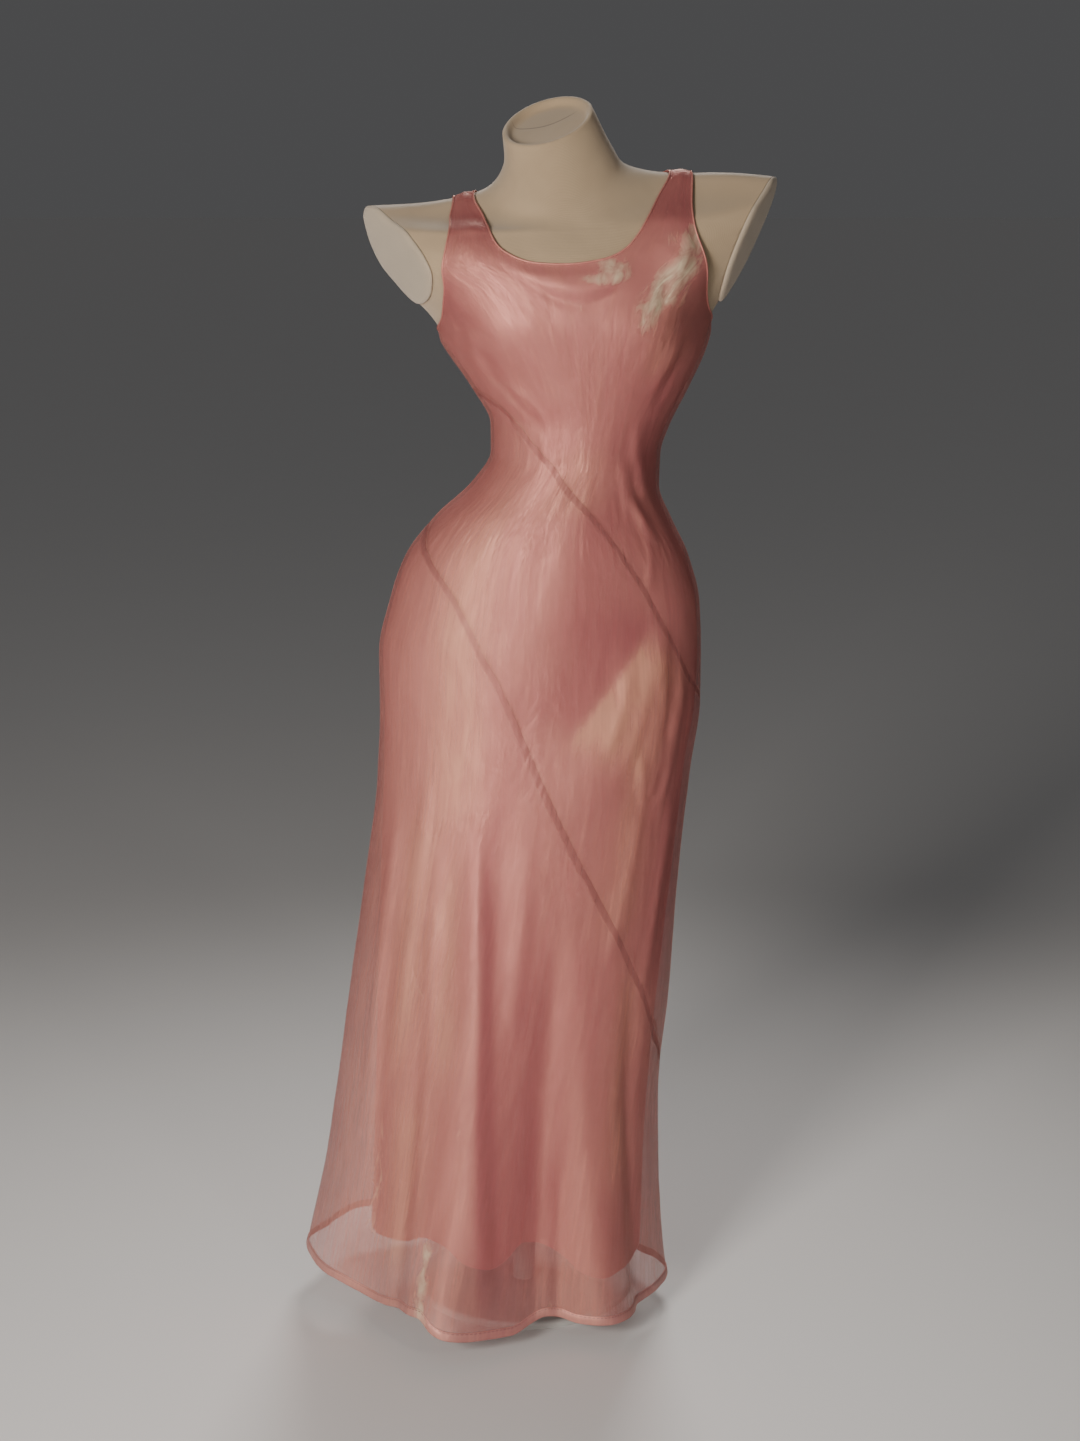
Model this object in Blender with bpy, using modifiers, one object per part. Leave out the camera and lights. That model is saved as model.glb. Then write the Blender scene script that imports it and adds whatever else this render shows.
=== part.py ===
"""A sheer-over-satin mermaid dress on a limbless dress form with a plain stand.

Metres, +Z up, origin on the floor under the stand's pole. The front of the dress faces -Y, and left and
right mean the viewer's left (-X) and right (+X). The torso leans into its left hip, so the sections of the
figure are given by separate left and right widths.
"""

import math

import bmesh
import bpy
import numpy as np

# ---------------------------------------------------------------------------------------------------------
# Driving sizes
# ---------------------------------------------------------------------------------------------------------

CLOTH_WALL = 0.001          # each layer of cloth
HEM_WALL = 0.0018           # the turned and pressed hem
LINING_CLEARANCE = 0.0020   # from the form to the lining
TOUCH_GAP = 0.0003          # left between pieces that meet
SLANT_GAP = 0.0006          # left, in height, along the slanted seams
HEM_DEPTH = 0.010           # height of the turned hem

HIP_LEVEL = 0.745           # the cloth leaves the figure below this height
FORM_FOOT = 0.640           # underside of the form's torso
FIGURE_FORWARD = 0.030      # the figure stands this far forward of its pole

POLE_RADIUS = 0.0125
COLLAR_RADIUS = 0.036
COLLAR_HUB_RADIUS = 0.019
COLLAR_HEIGHT = 0.040
BASE_RADIUS = 0.120
BASE_THICKNESS = 0.008

# Sections of the figure, bottom to top. Level is a section's own height, left and right are where it reaches
# on the X axis, front and back how far it reaches from the X axis. Shoulder turns the oval into the flat,
# blunt-ended section of the shoulders, whose ends are stump deep either way. The lifts raise its left, right,
# front and back points, so that the upper sections run over the shoulders like a collar.
FIGURE_COLUMNS = ("level", "left", "right", "front", "back", "shoulder", "stump",
                  "lift_left", "lift_right", "lift_front", "lift_back")
FIGURE_ROWS = (
    (0.625, -0.126, 0.160, 0.086, 0.100, 0.0, 0.045, 0.0, 0.0, 0.0, 0.0),
    (0.685, -0.140, 0.177, 0.092, 0.114, 0.0, 0.045, 0.0, 0.0, 0.0, 0.0),
    (0.735, -0.146, 0.182, 0.094, 0.120, 0.0, 0.045, 0.0, 0.0, 0.0, 0.0),
    (0.785, -0.135, 0.180, 0.095, 0.119, 0.0, 0.045, 0.0, 0.0, 0.0, 0.0),
    (0.835, -0.117, 0.168, 0.094, 0.107, 0.0, 0.045, 0.0, 0.0, 0.0, 0.0),
    (0.875, -0.086, 0.149, 0.090, 0.092, 0.0, 0.045, 0.0, 0.0, 0.0, 0.0),
    (0.910, -0.048, 0.136, 0.085, 0.080, 0.0, 0.045, 0.0, 0.0, 0.0, 0.0),
    (0.945, -0.027, 0.137, 0.082, 0.073, 0.0, 0.045, 0.0, 0.0, 0.0, 0.0),
    (0.975, -0.027, 0.146, 0.083, 0.072, 0.0, 0.045, 0.0, 0.0, 0.0, 0.0),
    (1.015, -0.047, 0.166, 0.090, 0.077, 0.0, 0.045, 0.0, 0.0, 0.0, 0.0),
    (1.055, -0.075, 0.184, 0.098, 0.083, 0.1, 0.045, 0.0, 0.0, 0.0, 0.0),
    (1.085, -0.094, 0.193, 0.102, 0.088, 0.3, 0.046, 0.0, 0.0, 0.0, 0.0),
    (1.115, -0.128, 0.213, 0.102, 0.091, 0.7, 0.047, 0.0, 0.0, 0.0, 0.0),
    (1.145, -0.180, 0.248, 0.096, 0.090, 1.0, 0.047, -0.005, 0.005, -0.004, 0.000),
    (1.175, -0.200, 0.274, 0.086, 0.085, 1.0, 0.045, -0.010, 0.010, -0.016, -0.005),
    (1.197, -0.200, 0.284, 0.077, 0.077, 1.0, 0.040, -0.013, 0.013, -0.026, -0.012),
    (1.211, -0.176, 0.274, 0.072, 0.070, 1.0, 0.032, -0.017, 0.011, -0.036, -0.018),
    (1.219, -0.118, 0.220, 0.069, 0.066, 1.0, 0.026, -0.023, 0.009, -0.041, -0.022),
    (1.227, -0.076, 0.176, 0.067, 0.062, 0.8, 0.026, -0.026, 0.0005, -0.045, -0.024),
    (1.235, -0.042, 0.135, 0.064, 0.060, 0.5, 0.034, -0.026, -0.007, -0.047, -0.022),
    (1.245, -0.025, 0.103, 0.060, 0.058, 0.2, 0.045, -0.022, -0.009, -0.046, -0.015),
    (1.260, -0.018, 0.092, 0.054, 0.055, 0.0, 0.045, -0.018, -0.008, -0.038, 0.000),
    (1.278, -0.020, 0.072, 0.044, 0.050, 0.0, 0.045, -0.0115, 0.0115, -0.023, 0.023),
)

# Heights of the rings that the form and the lining share, of the form's rings above them, and how much the
# form's foot draws in.
BODY_LEVELS = (
    0.665, 0.700, 0.735, 0.770, 0.805, 0.838, 0.868, 0.894, 0.917, 0.938, 0.958, 0.978, 0.998, 1.020, 1.045)
SHOULDER_LEVELS = (
    1.058, 1.071, 1.084, 1.097, 1.110, 1.122, 1.133, 1.144, 1.158, 1.172, 1.186, 1.198, 1.206, 1.213, 1.219,
    1.224, 1.228, 1.232, 1.237, 1.246, 1.260, 1.278)
# Columns: rise, scale.
FORM_FOOT_ROWS = ((0.000, 0.86), (0.003, 0.94), (0.010, 0.985))

# The flat planes where the form's arms end. Columns: side, a point of the plane, the way it faces.
ARM_PLANE_ROWS = (
    ("left", (-0.1310, -0.030, 1.148), (-0.842, -0.421, -0.337)),
    ("right", (0.2293, -0.030, 1.164), (0.892, -0.260, -0.365)),
)
ARM_LOWEST = 1.087          # the arm planes cut only above this height
# Rings of the slightly domed plate that closes each arm: how far out from its underside, and its scale.
ARM_PLATE_RINGS = ((0.0, 1.0), (0.0022, 1.0), (0.0040, 0.95), (0.0056, 0.78), (0.0065, 0.45))

# Mounds on the figure: the angle from the middle of the front or back, the height, how far it stands out,
# and how far it spreads round and up.
# Columns: facing, angle, level, reach, spread_deg, spread_up.
MOUND_ROWS = (
    ("front", -33.0, 1.083, 0.016, 21.0, 0.043),
    ("front", 33.0, 1.083, 0.016, 21.0, 0.043),
    ("back", -34.0, 0.765, 0.006, 28.0, 0.060),
    ("back", 34.0, 0.765, 0.006, 28.0, 0.060),
)

# The skirt below the hips, for each layer: where the cloth hangs before its flutes, and how many degrees its
# oval has turned, because the bias cut swings the skirt round as it falls.
# Columns: level, left, right, front, back, turn.
OUTER_SKIRT_ROWS = (
    (-0.015, -0.242, 0.149, 0.152, 0.196, -15.0),
    (0.065, -0.228, 0.142, 0.142, 0.184, -14.0),
    (0.145, -0.212, 0.139, 0.133, 0.172, -12.0),
    (0.245, -0.198, 0.140, 0.123, 0.158, -9.0),
    (0.365, -0.183, 0.152, 0.114, 0.144, -5.0),
    (0.485, -0.165, 0.160, 0.106, 0.134, -2.0),
    (0.605, -0.149, 0.172, 0.099, 0.125, 0.0),
    (0.685, -0.146, 0.182, 0.096, 0.121, 0.0),
)
LINING_SKIRT_ROWS = (
    (0.045, -0.171, 0.128, 0.128, 0.158, -14.0),
    (0.165, -0.165, 0.130, 0.118, 0.149, -11.0),
    (0.285, -0.160, 0.136, 0.112, 0.140, -8.0),
    (0.405, -0.155, 0.147, 0.107, 0.133, -4.0),
    (0.525, -0.150, 0.160, 0.101, 0.127, -1.0),
    (0.625, -0.146, 0.171, 0.097, 0.122, 0.0),
    (0.685, -0.145, 0.180, 0.096, 0.120, 0.0),
)

# From the lining to the outer layer: loose over the body, closer along the straps.
LAYER_CLEARANCE_COLUMNS = ("level", "clearance")
LAYER_CLEARANCE_ROWS = ((0.0, 0.0035), (1.04, 0.0035), (1.15, 0.0019), (1.30, 0.0017))

# Flutes of the skirt: the angle round the figure where each begins and where it meets the hem, how far it
# stands out (or in, when negative) at the hem, its half-width in degrees, and the height where it starts.
# Columns: start_angle, hem_angle, reach, spread, start_level.
OUTER_FLUTE_ROWS = (
    (-172.0, -178.0, 0.014, 13.0, 0.415),
    (-136.0, -124.0, -0.026, 17.0, 0.465),
    (-106.0, -89.0, 0.034, 12.0, 0.605),
    (-80.0, -60.0, -0.032, 12.0, 0.525),
    (-52.0, -34.0, 0.016, 12.0, 0.445),
    (-24.0, -10.0, -0.006, 9.0, 0.365),
    (6.0, 14.0, 0.010, 11.0, 0.385),
    (28.0, 36.0, -0.014, 11.0, 0.445),
    (48.0, 58.0, 0.018, 12.0, 0.515),
    (72.0, 82.0, -0.014, 12.0, 0.415),
    (94.0, 106.0, 0.018, 12.0, 0.515),
    (118.0, 130.0, -0.016, 12.0, 0.465),
    (144.0, 154.0, 0.014, 11.0, 0.445),
)
LINING_FLUTE_ROWS = (
    (-136.0, -126.0, -0.014, 15.0, 0.415),
    (-106.0, -92.0, 0.018, 12.0, 0.565),
    (-80.0, -63.0, -0.020, 12.0, 0.485),
    (-52.0, -38.0, 0.010, 12.0, 0.415),
    (-10.0, 0.0, -0.006, 13.0, 0.365),
    (30.0, 38.0, -0.008, 13.0, 0.385),
    (50.0, 60.0, 0.008, 13.0, 0.465),
    (94.0, 106.0, 0.008, 13.0, 0.465),
    (134.0, 142.0, -0.008, 13.0, 0.415),
)

# Each half of the dress has columns of facets between its side seams. They are even round the skirt, and
# above the bust they gather to the edges of the straps: underarm, strap, neck, strap, underarm.
ZONE_CELLS = (4, 2, 4, 2, 4)
EVEN_BELOW, GATHERED_ABOVE = 0.98, 1.13
FRONT_ZONES = (-180.0, -116.0, -98.0, -78.5, -57.5, 0.0)
BACK_ZONES = (0.0, 57.5, 78.5, 98.0, 116.0, 180.0)

# Edges of the dress, each as angles round the figure and the heights there.
# Columns: angle, level.
FRONT_TOP_ROWS = (
    (-180.0, 1.072), (-158.5, 1.0805), (-136.0, 1.1045), (-121.5, 1.1275), (-116.0, 1.141), (-98.0, 1.161),
    (-95.0, 1.149), (-91.0, 1.144), (-88.0, 1.1435), (-85.5, 1.146), (-81.5, 1.150), (-78.5, 1.1605),
    (-57.5, 1.158), (-53.0, 1.1435), (-47.5, 1.1315), (-33.5, 1.108), (-23.5, 1.095), (0.0, 1.083))
BACK_TOP_ROWS = (
    (0.0, 1.083), (23.5, 1.095), (40.0, 1.118), (52.0, 1.143), (57.5, 1.158), (78.5, 1.168),
    (81.5, 1.157), (85.0, 1.151), (88.5, 1.149), (92.0, 1.151), (95.0, 1.156), (98.0, 1.166),
    (116.0, 1.141), (130.0, 1.114), (158.5, 1.0805), (180.0, 1.072))
UPPER_SEAM_ROWS = (
    (-180.0, 1.014), (-160.0, 1.011), (-145.0, 1.000), (-133.0, 0.980), (-99.0, 0.930), (-67.0, 0.880),
    (-50.5, 0.822), (-39.5, 0.773), (-20.5, 0.712), (0.0, 0.690), (24.0, 0.712), (50.0, 0.790),
    (85.0, 0.885), (125.0, 0.965), (158.0, 1.005))
LOWER_SEAM_ROWS = (
    (-180.0, 0.868), (-153.0, 0.847), (-129.5, 0.812), (-108.0, 0.737), (-92.5, 0.645), (-77.0, 0.565),
    (-58.5, 0.488), (-33.0, 0.388), (-14.0, 0.322), (5.0, 0.290), (28.0, 0.320), (60.0, 0.430),
    (95.0, 0.590), (130.0, 0.750), (158.0, 0.850))
OUTER_HEM_ROWS = (
    (-180.0, 0.043), (-144.5, 0.042), (-121.5, 0.034), (-97.0, 0.043), (-91.5, 0.031), (-87.5, 0.026),
    (-78.5, 0.023), (-69.0, 0.023), (-61.5, 0.031), (-56.0, 0.036), (-51.0, 0.034), (-44.0, 0.027),
    (-25.0, 0.024), (-3.0, 0.027), (40.0, 0.026), (95.0, 0.030), (145.0, 0.038))
LINING_HEM_ROWS = (
    (-163.0, 0.084), (-131.0, 0.093), (-113.5, 0.110), (-104.0, 0.108), (-94.0, 0.094), (-84.5, 0.089),
    (-79.5, 0.096), (-72.0, 0.114), (-64.0, 0.111), (-55.0, 0.100), (-45.5, 0.078), (-32.0, 0.066),
    (-8.0, 0.064), (40.0, 0.070), (95.0, 0.084), (145.0, 0.082))

# The straps' edges, from the bodice to the shoulder seam, by the share of their length. Each back edge
# mirrors the front edge of its own strap.
# Columns: share, angle, level.
LEFT_STRAP_OUTER = (
    (0.00, -116.0, 1.1410), (0.11, -112.3, 1.1595), (0.22, -111.5, 1.1790), (0.35, -111.7, 1.1990),
    (0.42, -114.0, 1.2072), (0.53, -121.2, 1.2149), (0.64, -131.8, 1.2194), (0.77, -148.2, 1.2247),
    (0.88, -164.3, 1.2277), (1.00, -180.0, 1.2285))
LEFT_STRAP_INNER = (
    (0.00, -98.0, 1.1610), (0.11, -99.6, 1.1740), (0.21, -101.3, 1.1900), (0.30, -102.6, 1.2027),
    (0.37, -106.4, 1.2127), (0.48, -116.0, 1.2203), (0.60, -129.2, 1.2267), (0.70, -140.9, 1.2297),
    (0.80, -153.2, 1.2313), (1.00, -180.0, 1.2335))
RIGHT_STRAP_INNER = (
    (0.00, -78.5, 1.1605), (0.13, -77.9, 1.1787), (0.26, -77.2, 1.1985), (0.32, -76.8, 1.2103),
    (0.38, -73.5, 1.2159), (0.50, -63.0, 1.2230), (0.62, -50.6, 1.2275), (0.74, -36.5, 1.2301),
    (0.85, -20.8, 1.2313), (1.00, 0.0, 1.2320))
RIGHT_STRAP_OUTER = (
    (0.00, -57.5, 1.1580), (0.12, -61.8, 1.1764), (0.24, -64.4, 1.1936), (0.29, -64.6, 1.1994),
    (0.34, -64.3, 1.2081), (0.48, -57.5, 1.2163), (0.60, -47.7, 1.2205), (0.72, -35.2, 1.2241),
    (0.84, -19.7, 1.2266), (1.00, 0.0, 1.2278))
STRAP_ROW_SHARES = (0.14, 0.28, 0.42, 0.56, 0.68, 0.79, 0.90, 1.0)

# Rows of facets in each panel, bottom to top, as shares of its height.
OUTER_SKIRT_SHARES = (0.0, 0.14, 0.28, 0.41, 0.53, 0.64, 0.73, 0.80, 0.86, 0.91, 0.955, 1.0)
OUTER_WAIST_SHARES = np.linspace(0.0, 1.0, 13)
OUTER_BODICE_SHARES = (0.0, 0.065, 0.13, 0.20, 0.27, 0.34, 0.41, 0.49, 0.57, 0.66, 0.75, 0.84, 0.92, 1.0)
LINING_SKIRT_SHARES = np.linspace(0.0, 1.0, 7)
LINING_TOP_SHARES = np.linspace(0.0, 1.0, 7)

# ---------------------------------------------------------------------------------------------------------
# Surfaces
# ---------------------------------------------------------------------------------------------------------

def smooth_curve(knots, values):
    """A monotone cubic through (knots, values), which never overshoots them."""
    knots, values = np.asarray(knots, float), np.asarray(values, float)
    step = np.diff(knots)
    slope = np.diff(values) / step
    tangent = np.zeros_like(values)
    before, after = slope[:-1], slope[1:]
    weight_before, weight_after = 2 * step[1:] + step[:-1], step[1:] + 2 * step[:-1]
    same_way = before * after > 0
    safe_before, safe_after = np.where(same_way, before, 1.0), np.where(same_way, after, 1.0)
    harmonic = (weight_before + weight_after) / (weight_before / safe_before + weight_after / safe_after)
    tangent[1:-1] = np.where(same_way, harmonic, 0.0)
    tangent[0], tangent[-1] = slope[0], slope[-1]

    def at(where):
        where = np.clip(where, knots[0], knots[-1])
        i = np.clip(np.searchsorted(knots, where) - 1, 0, len(step) - 1)
        t = (where - knots[i]) / step[i]
        return ((2 * t**3 - 3 * t**2 + 1) * values[i] + (t**3 - 2 * t**2 + t) * step[i] * tangent[i]
                + (3 * t**2 - 2 * t**3) * values[i + 1] + (t**3 - t**2) * step[i] * tangent[i + 1])

    return at


def table_curves(columns, rows):
    """A smooth curve for each column of a table, over its first column."""
    values = np.array(rows, float)
    return {name: smooth_curve(values[:, 0], values[:, k]) for k, name in enumerate(columns)}


def rows_of_cloth(skirt_rows):
    """The figure's rows above the hips on top of a layer's skirt rows."""
    flat = (0.0, 0.045, 0.0, 0.0, 0.0, 0.0)
    skirt = [row[:5] + flat + row[5:] for row in skirt_rows]
    return skirt + [row + (0.0,) for row in FIGURE_ROWS if row[0] >= HIP_LEVEL - 0.02]


FIGURE = table_curves(FIGURE_COLUMNS, FIGURE_ROWS)
OUTER = table_curves(FIGURE_COLUMNS + ("turn",), rows_of_cloth(OUTER_SKIRT_ROWS))
LINING = table_curves(FIGURE_COLUMNS + ("turn",), rows_of_cloth(LINING_SKIRT_ROWS))


def closed_curve(rows):
    """The smooth level of an edge at any angle, for an edge that runs all round the figure."""
    values = np.array(rows, float)
    turns = [values + (turn, 0.0) for turn in (-360.0, 0.0, 360.0)]
    around = np.concatenate(turns)
    return smooth_curve(around[:, 0], around[:, 1])


def open_curve(rows):
    """The smooth level of an edge that runs from one side seam to the other."""
    values = np.array(rows, float)
    return smooth_curve(values[:, 0], values[:, 1])


def ease(share):
    share = np.clip(share, 0.0, 1.0)
    return share * share * (3.0 - 2.0 * share)


def angle_gap(a, b):
    """The signed difference of two angles in degrees, between -180 and 180."""
    return (a - b + 180.0) % 360.0 - 180.0


def section_point(sections, angle, level):
    """The point of a section at an angle in degrees: 0 is at the right, -90 at the front, 90 at the back."""
    angle, level = np.broadcast_arrays(np.asarray(angle, float), np.asarray(level, float))
    at = {name: curve(level) for name, curve in sections.items()}
    c, s = np.cos(np.radians(angle)), np.sin(np.radians(angle))
    depth = np.where(s < 0, at["front"], at["back"])
    stump = np.minimum(at["stump"], depth)
    end_share = np.abs(s) ** (1.0 - 0.35 * at["shoulder"])
    middle_share = np.abs(s) ** (1.0 + 3.5 * at["shoulder"])
    x_share = np.sign(c) * np.abs(c) ** (1.0 - 0.25 * at["shoulder"])
    x = (at["left"] + at["right"]) / 2 + (at["right"] - at["left"]) / 2 * x_share
    y = np.sign(s) * (stump * end_share + (depth - stump) * middle_share)
    sideways = c * c * (at["lift_left"] + at["lift_right"]) + c * (at["lift_right"] - at["lift_left"])
    fore_and_aft = s * s * (at["lift_front"] + at["lift_back"]) + s * (at["lift_back"] - at["lift_front"])
    z = level + (sideways + fore_and_aft) / 2
    if "turn" in sections:
        centre = (at["left"] + at["right"]) / 2
        ct, st = np.cos(np.radians(at["turn"])), np.sin(np.radians(at["turn"]))
        x, y = centre + (x - centre) * ct - y * st, (x - centre) * st + y * ct
    for facing, aside, height, reach, spread_deg, spread_up in MOUND_ROWS:
        middle = (-90.0 if facing == "front" else 90.0) + aside
        round_share, up_share = angle_gap(angle, middle) / spread_deg, (level - height) / spread_up
        swell = reach * np.exp(-round_share**2 - up_share**2)
        x = x + swell * math.cos(math.radians(middle)) * 0.5
        y = y + swell * math.sin(math.radians(middle))
    return np.stack([x, y - FIGURE_FORWARD, z], axis=-1)


def flute_reach(flutes, angle, level):
    """How far the flutes push the cloth out at an angle and height."""
    total = np.zeros(np.broadcast(angle, level).shape)
    for start_angle, hem_angle, reach, spread, start_level in flutes:
        drop = np.clip((start_level - level) / start_level, 0.0, 1.0)
        middle = start_angle + (hem_angle - start_angle) * drop
        total = total + reach * drop**1.6 * np.exp(-(angle_gap(angle, middle) / spread) ** 2)
    return total


def cloth_point(sections, flutes, offset, angle, level):
    """A point of a layer of cloth: off its sections by an offset and its flutes, along the normal."""
    angle, level = np.broadcast_arrays(np.asarray(angle, float), np.asarray(level, float))
    turn, rise = 0.5, 0.0015
    along = section_point(sections, angle + turn, level) - section_point(sections, angle - turn, level)
    upward = section_point(sections, angle, level + rise) - section_point(sections, angle, level - rise)
    normal = np.cross(along, upward)
    normal /= np.maximum(np.linalg.norm(normal, axis=-1, keepdims=True), 1e-12)
    reach = offset + flute_reach(flutes, angle, level)
    return section_point(sections, angle, level) + normal * reach[..., None]


LAYER_CLEARANCE = table_curves(LAYER_CLEARANCE_COLUMNS, LAYER_CLEARANCE_ROWS)["clearance"]


def outer_point(angle, level):
    offset = LINING_CLEARANCE + CLOTH_WALL + LAYER_CLEARANCE(level)
    return cloth_point(OUTER, OUTER_FLUTE_ROWS, offset, angle, level)


def lining_point(angle, level):
    return cloth_point(LINING, LINING_FLUTE_ROWS, LINING_CLEARANCE, angle, level)


# ---------------------------------------------------------------------------------------------------------
# Grids of a half of the dress
# ---------------------------------------------------------------------------------------------------------

def zone_angles(zones):
    """The gathered angles of a half's columns."""
    parts = [np.linspace(a, b, cells + 1)[:-1] for a, b, cells in zip(zones[:-1], zones[1:], ZONE_CELLS)]
    return np.concatenate(parts + [np.array([zones[-1]])])


def column_angles(zones, level):
    """The angle of each column at its level: even below the bust, gathered above it."""
    gathered = zone_angles(zones)
    even = np.linspace(zones[0], zones[-1], len(gathered))
    share = ease((level - EVEN_BELOW) / (GATHERED_ABOVE - EVEN_BELOW))
    return even + (gathered - even) * share


def level_on_columns(zones, edge):
    """The level where each column meets an edge, found by going back and forth between the two."""
    level = edge(np.linspace(zones[0], zones[-1], sum(ZONE_CELLS) + 1))
    for _ in range(60):
        level = 0.5 * level + 0.5 * edge(column_angles(zones, level))
    return level


def strap_rows(outer_edge, inner_edge, cells, mirror):
    """Angles and levels across a strap, row by row, from its outer edge to its inner one."""
    edges = []
    for rows in (outer_edge, inner_edge):
        values = np.array(rows, float)
        shares = np.array(STRAP_ROW_SHARES)
        edges.append(np.stack([smooth_curve(values[:, 0], values[:, 1])(shares) * mirror,
                               smooth_curve(values[:, 0], values[:, 2])(shares)]))
    across = np.linspace(0.0, 1.0, cells + 1)
    grid = edges[0][:, :, None] * (1.0 - across) + edges[1][:, :, None] * across
    return grid[0], grid[1]


def rows_between(low, high, shares):
    return low + (high - low) * np.asarray(shares)[:, None]


def panel_levels(zones, low_edge, high_edge, row_shares):
    """Rows of levels from one edge of a panel to the other."""
    return rows_between(level_on_columns(zones, low_edge), level_on_columns(zones, high_edge), row_shares)


def lining_levels(zones, low_edge, high_edge):
    """Rows of levels from the lining's hem to its top, which follow the form's rings between the two."""
    low, high = level_on_columns(zones, low_edge), level_on_columns(zones, high_edge)
    body = np.repeat(np.array(BODY_LEVELS)[:, None], len(low), axis=1)
    skirt = rows_between(low, body[0], LINING_SKIRT_SHARES)[:-1]
    top = rows_between(body[-1], high, LINING_TOP_SHARES)[1:]
    return np.concatenate([skirt, body, top])


def half_grid(zones, level, with_straps):
    """The angles, levels and faces of a panel between its side seams, and the points on its side seams."""
    angle = np.stack([column_angles(zones, row) for row in level])
    rows, columns = level.shape
    index = np.arange(rows * columns).reshape(rows, columns)
    faces = [(index[i, j], index[i, j + 1], index[i + 1, j + 1], index[i + 1, j])
             for i in range(rows - 1) for j in range(columns - 1)]
    angles, levels = list(angle.ravel()), list(level.ravel())
    seam_points = list(index[:, 0]) + list(index[:, -1])
    if with_straps:
        starts = np.concatenate([[0], np.cumsum(ZONE_CELLS)])
        front = zones[0] < 0
        first, second = ((LEFT_STRAP_OUTER, LEFT_STRAP_INNER), (RIGHT_STRAP_INNER, RIGHT_STRAP_OUTER))
        if not front:
            first, second = (RIGHT_STRAP_OUTER, RIGHT_STRAP_INNER), (LEFT_STRAP_INNER, LEFT_STRAP_OUTER)
        for zone, edges in ((1, first), (3, second)):
            cells = ZONE_CELLS[zone]
            turn, height = strap_rows(edges[0], edges[1], cells, 1.0 if front else -1.0)
            below = index[-1, starts[zone]:starts[zone] + cells + 1]
            for i in range(len(turn)):
                row = np.arange(len(angles), len(angles) + cells + 1)
                angles += list(turn[i])
                levels += list(height[i])
                faces += [(below[j], below[j + 1], row[j + 1], row[j]) for j in range(cells)]
                below = row
            seam_points += list(below)
    return np.array(angles), np.array(levels), faces, seam_points


# ---------------------------------------------------------------------------------------------------------
# Objects
# ---------------------------------------------------------------------------------------------------------

for leftover in list(bpy.data.objects):
    bpy.data.objects.remove(leftover)

collection = bpy.data.collections.new("mermaid_dress_on_dress_form")
bpy.context.scene.collection.children.link(collection)


def material(name, colour, roughness, metallic=0.0, alpha=1.0):
    made = bpy.data.materials.new(name)
    made.use_nodes = True
    shader = made.node_tree.nodes["Principled BSDF"]
    shader.inputs["Base Color"].default_value = (*colour, 1.0)
    shader.inputs["Roughness"].default_value = roughness
    shader.inputs["Metallic"].default_value = metallic
    shader.inputs["Alpha"].default_value = alpha
    made.diffuse_color = (*colour, 1.0)
    return made


SHEER = material("shot_organza", (0.50, 0.22, 0.20), 0.38, alpha=0.6)
HEM_CLOTH = material("turned_organza", (0.52, 0.22, 0.21), 0.42)
SATIN = material("pink_satin", (0.55, 0.24, 0.22), 0.35)
JERSEY = material("cream_jersey", (0.56, 0.48, 0.36), 0.85)
PLATE_JERSEY = material("cream_jersey_plates", (0.55, 0.48, 0.37), 0.85)
STAND_PAINT = material("white_stand_paint", (0.75, 0.74, 0.72), 0.45)


def add_object(name, mesh, look):
    mesh.materials.append(look)
    mesh.polygons.foreach_set("use_smooth", [True] * len(mesh.polygons))
    made = bpy.data.objects.new(name, mesh)
    collection.objects.link(made)
    return made


def thicken(made, wall):
    """Gives an open surface its wall, outwards from it."""
    solidify = made.modifiers.new("wall", "SOLIDIFY")
    solidify.thickness = wall
    solidify.offset = 1.0


def cloth_panel(name, zones, surface, level, with_straps, look):
    """One half's panel over its rows of levels, drawn back from its side and shoulder seams."""
    angle, level, faces, seam_points = half_grid(zones, level, with_straps)
    points = surface(angle, level)
    points[seam_points, 1] += TOUCH_GAP / 2 * (-1.0 if zones[0] < 0 else 1.0)
    mesh = bpy.data.meshes.new(name)
    mesh.from_pydata(points.tolist(), [], [tuple(int(k) for k in face) for face in faces])
    made = add_object(name, mesh, look)
    thicken(made, CLOTH_WALL)
    return made


front_top, back_top = open_curve(FRONT_TOP_ROWS), open_curve(BACK_TOP_ROWS)
upper_seam, lower_seam = closed_curve(UPPER_SEAM_ROWS), closed_curve(LOWER_SEAM_ROWS)
outer_hem, lining_hem = closed_curve(OUTER_HEM_ROWS), closed_curve(LINING_HEM_ROWS)

for half, zones, top in (("front", FRONT_ZONES, front_top), ("back", BACK_ZONES, back_top)):
    skirt = panel_levels(zones, lambda a: outer_hem(a) + HEM_DEPTH + SLANT_GAP,
                         lambda a: lower_seam(a) - SLANT_GAP / 2, OUTER_SKIRT_SHARES)
    waist = panel_levels(zones, lambda a: lower_seam(a) + SLANT_GAP / 2,
                         lambda a: upper_seam(a) - SLANT_GAP / 2, OUTER_WAIST_SHARES)
    bodice = panel_levels(zones, lambda a: upper_seam(a) + SLANT_GAP / 2, top, OUTER_BODICE_SHARES)
    cloth_panel("lining_" + half, zones, lining_point, lining_levels(zones, lining_hem, top), True, SATIN)
    cloth_panel("outer_skirt_" + half, zones, outer_point, skirt, False, SHEER)
    cloth_panel("outer_waist_" + half, zones, outer_point, waist, False, SHEER)
    cloth_panel("outer_bodice_" + half, zones, outer_point, bodice, True, SHEER)

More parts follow.
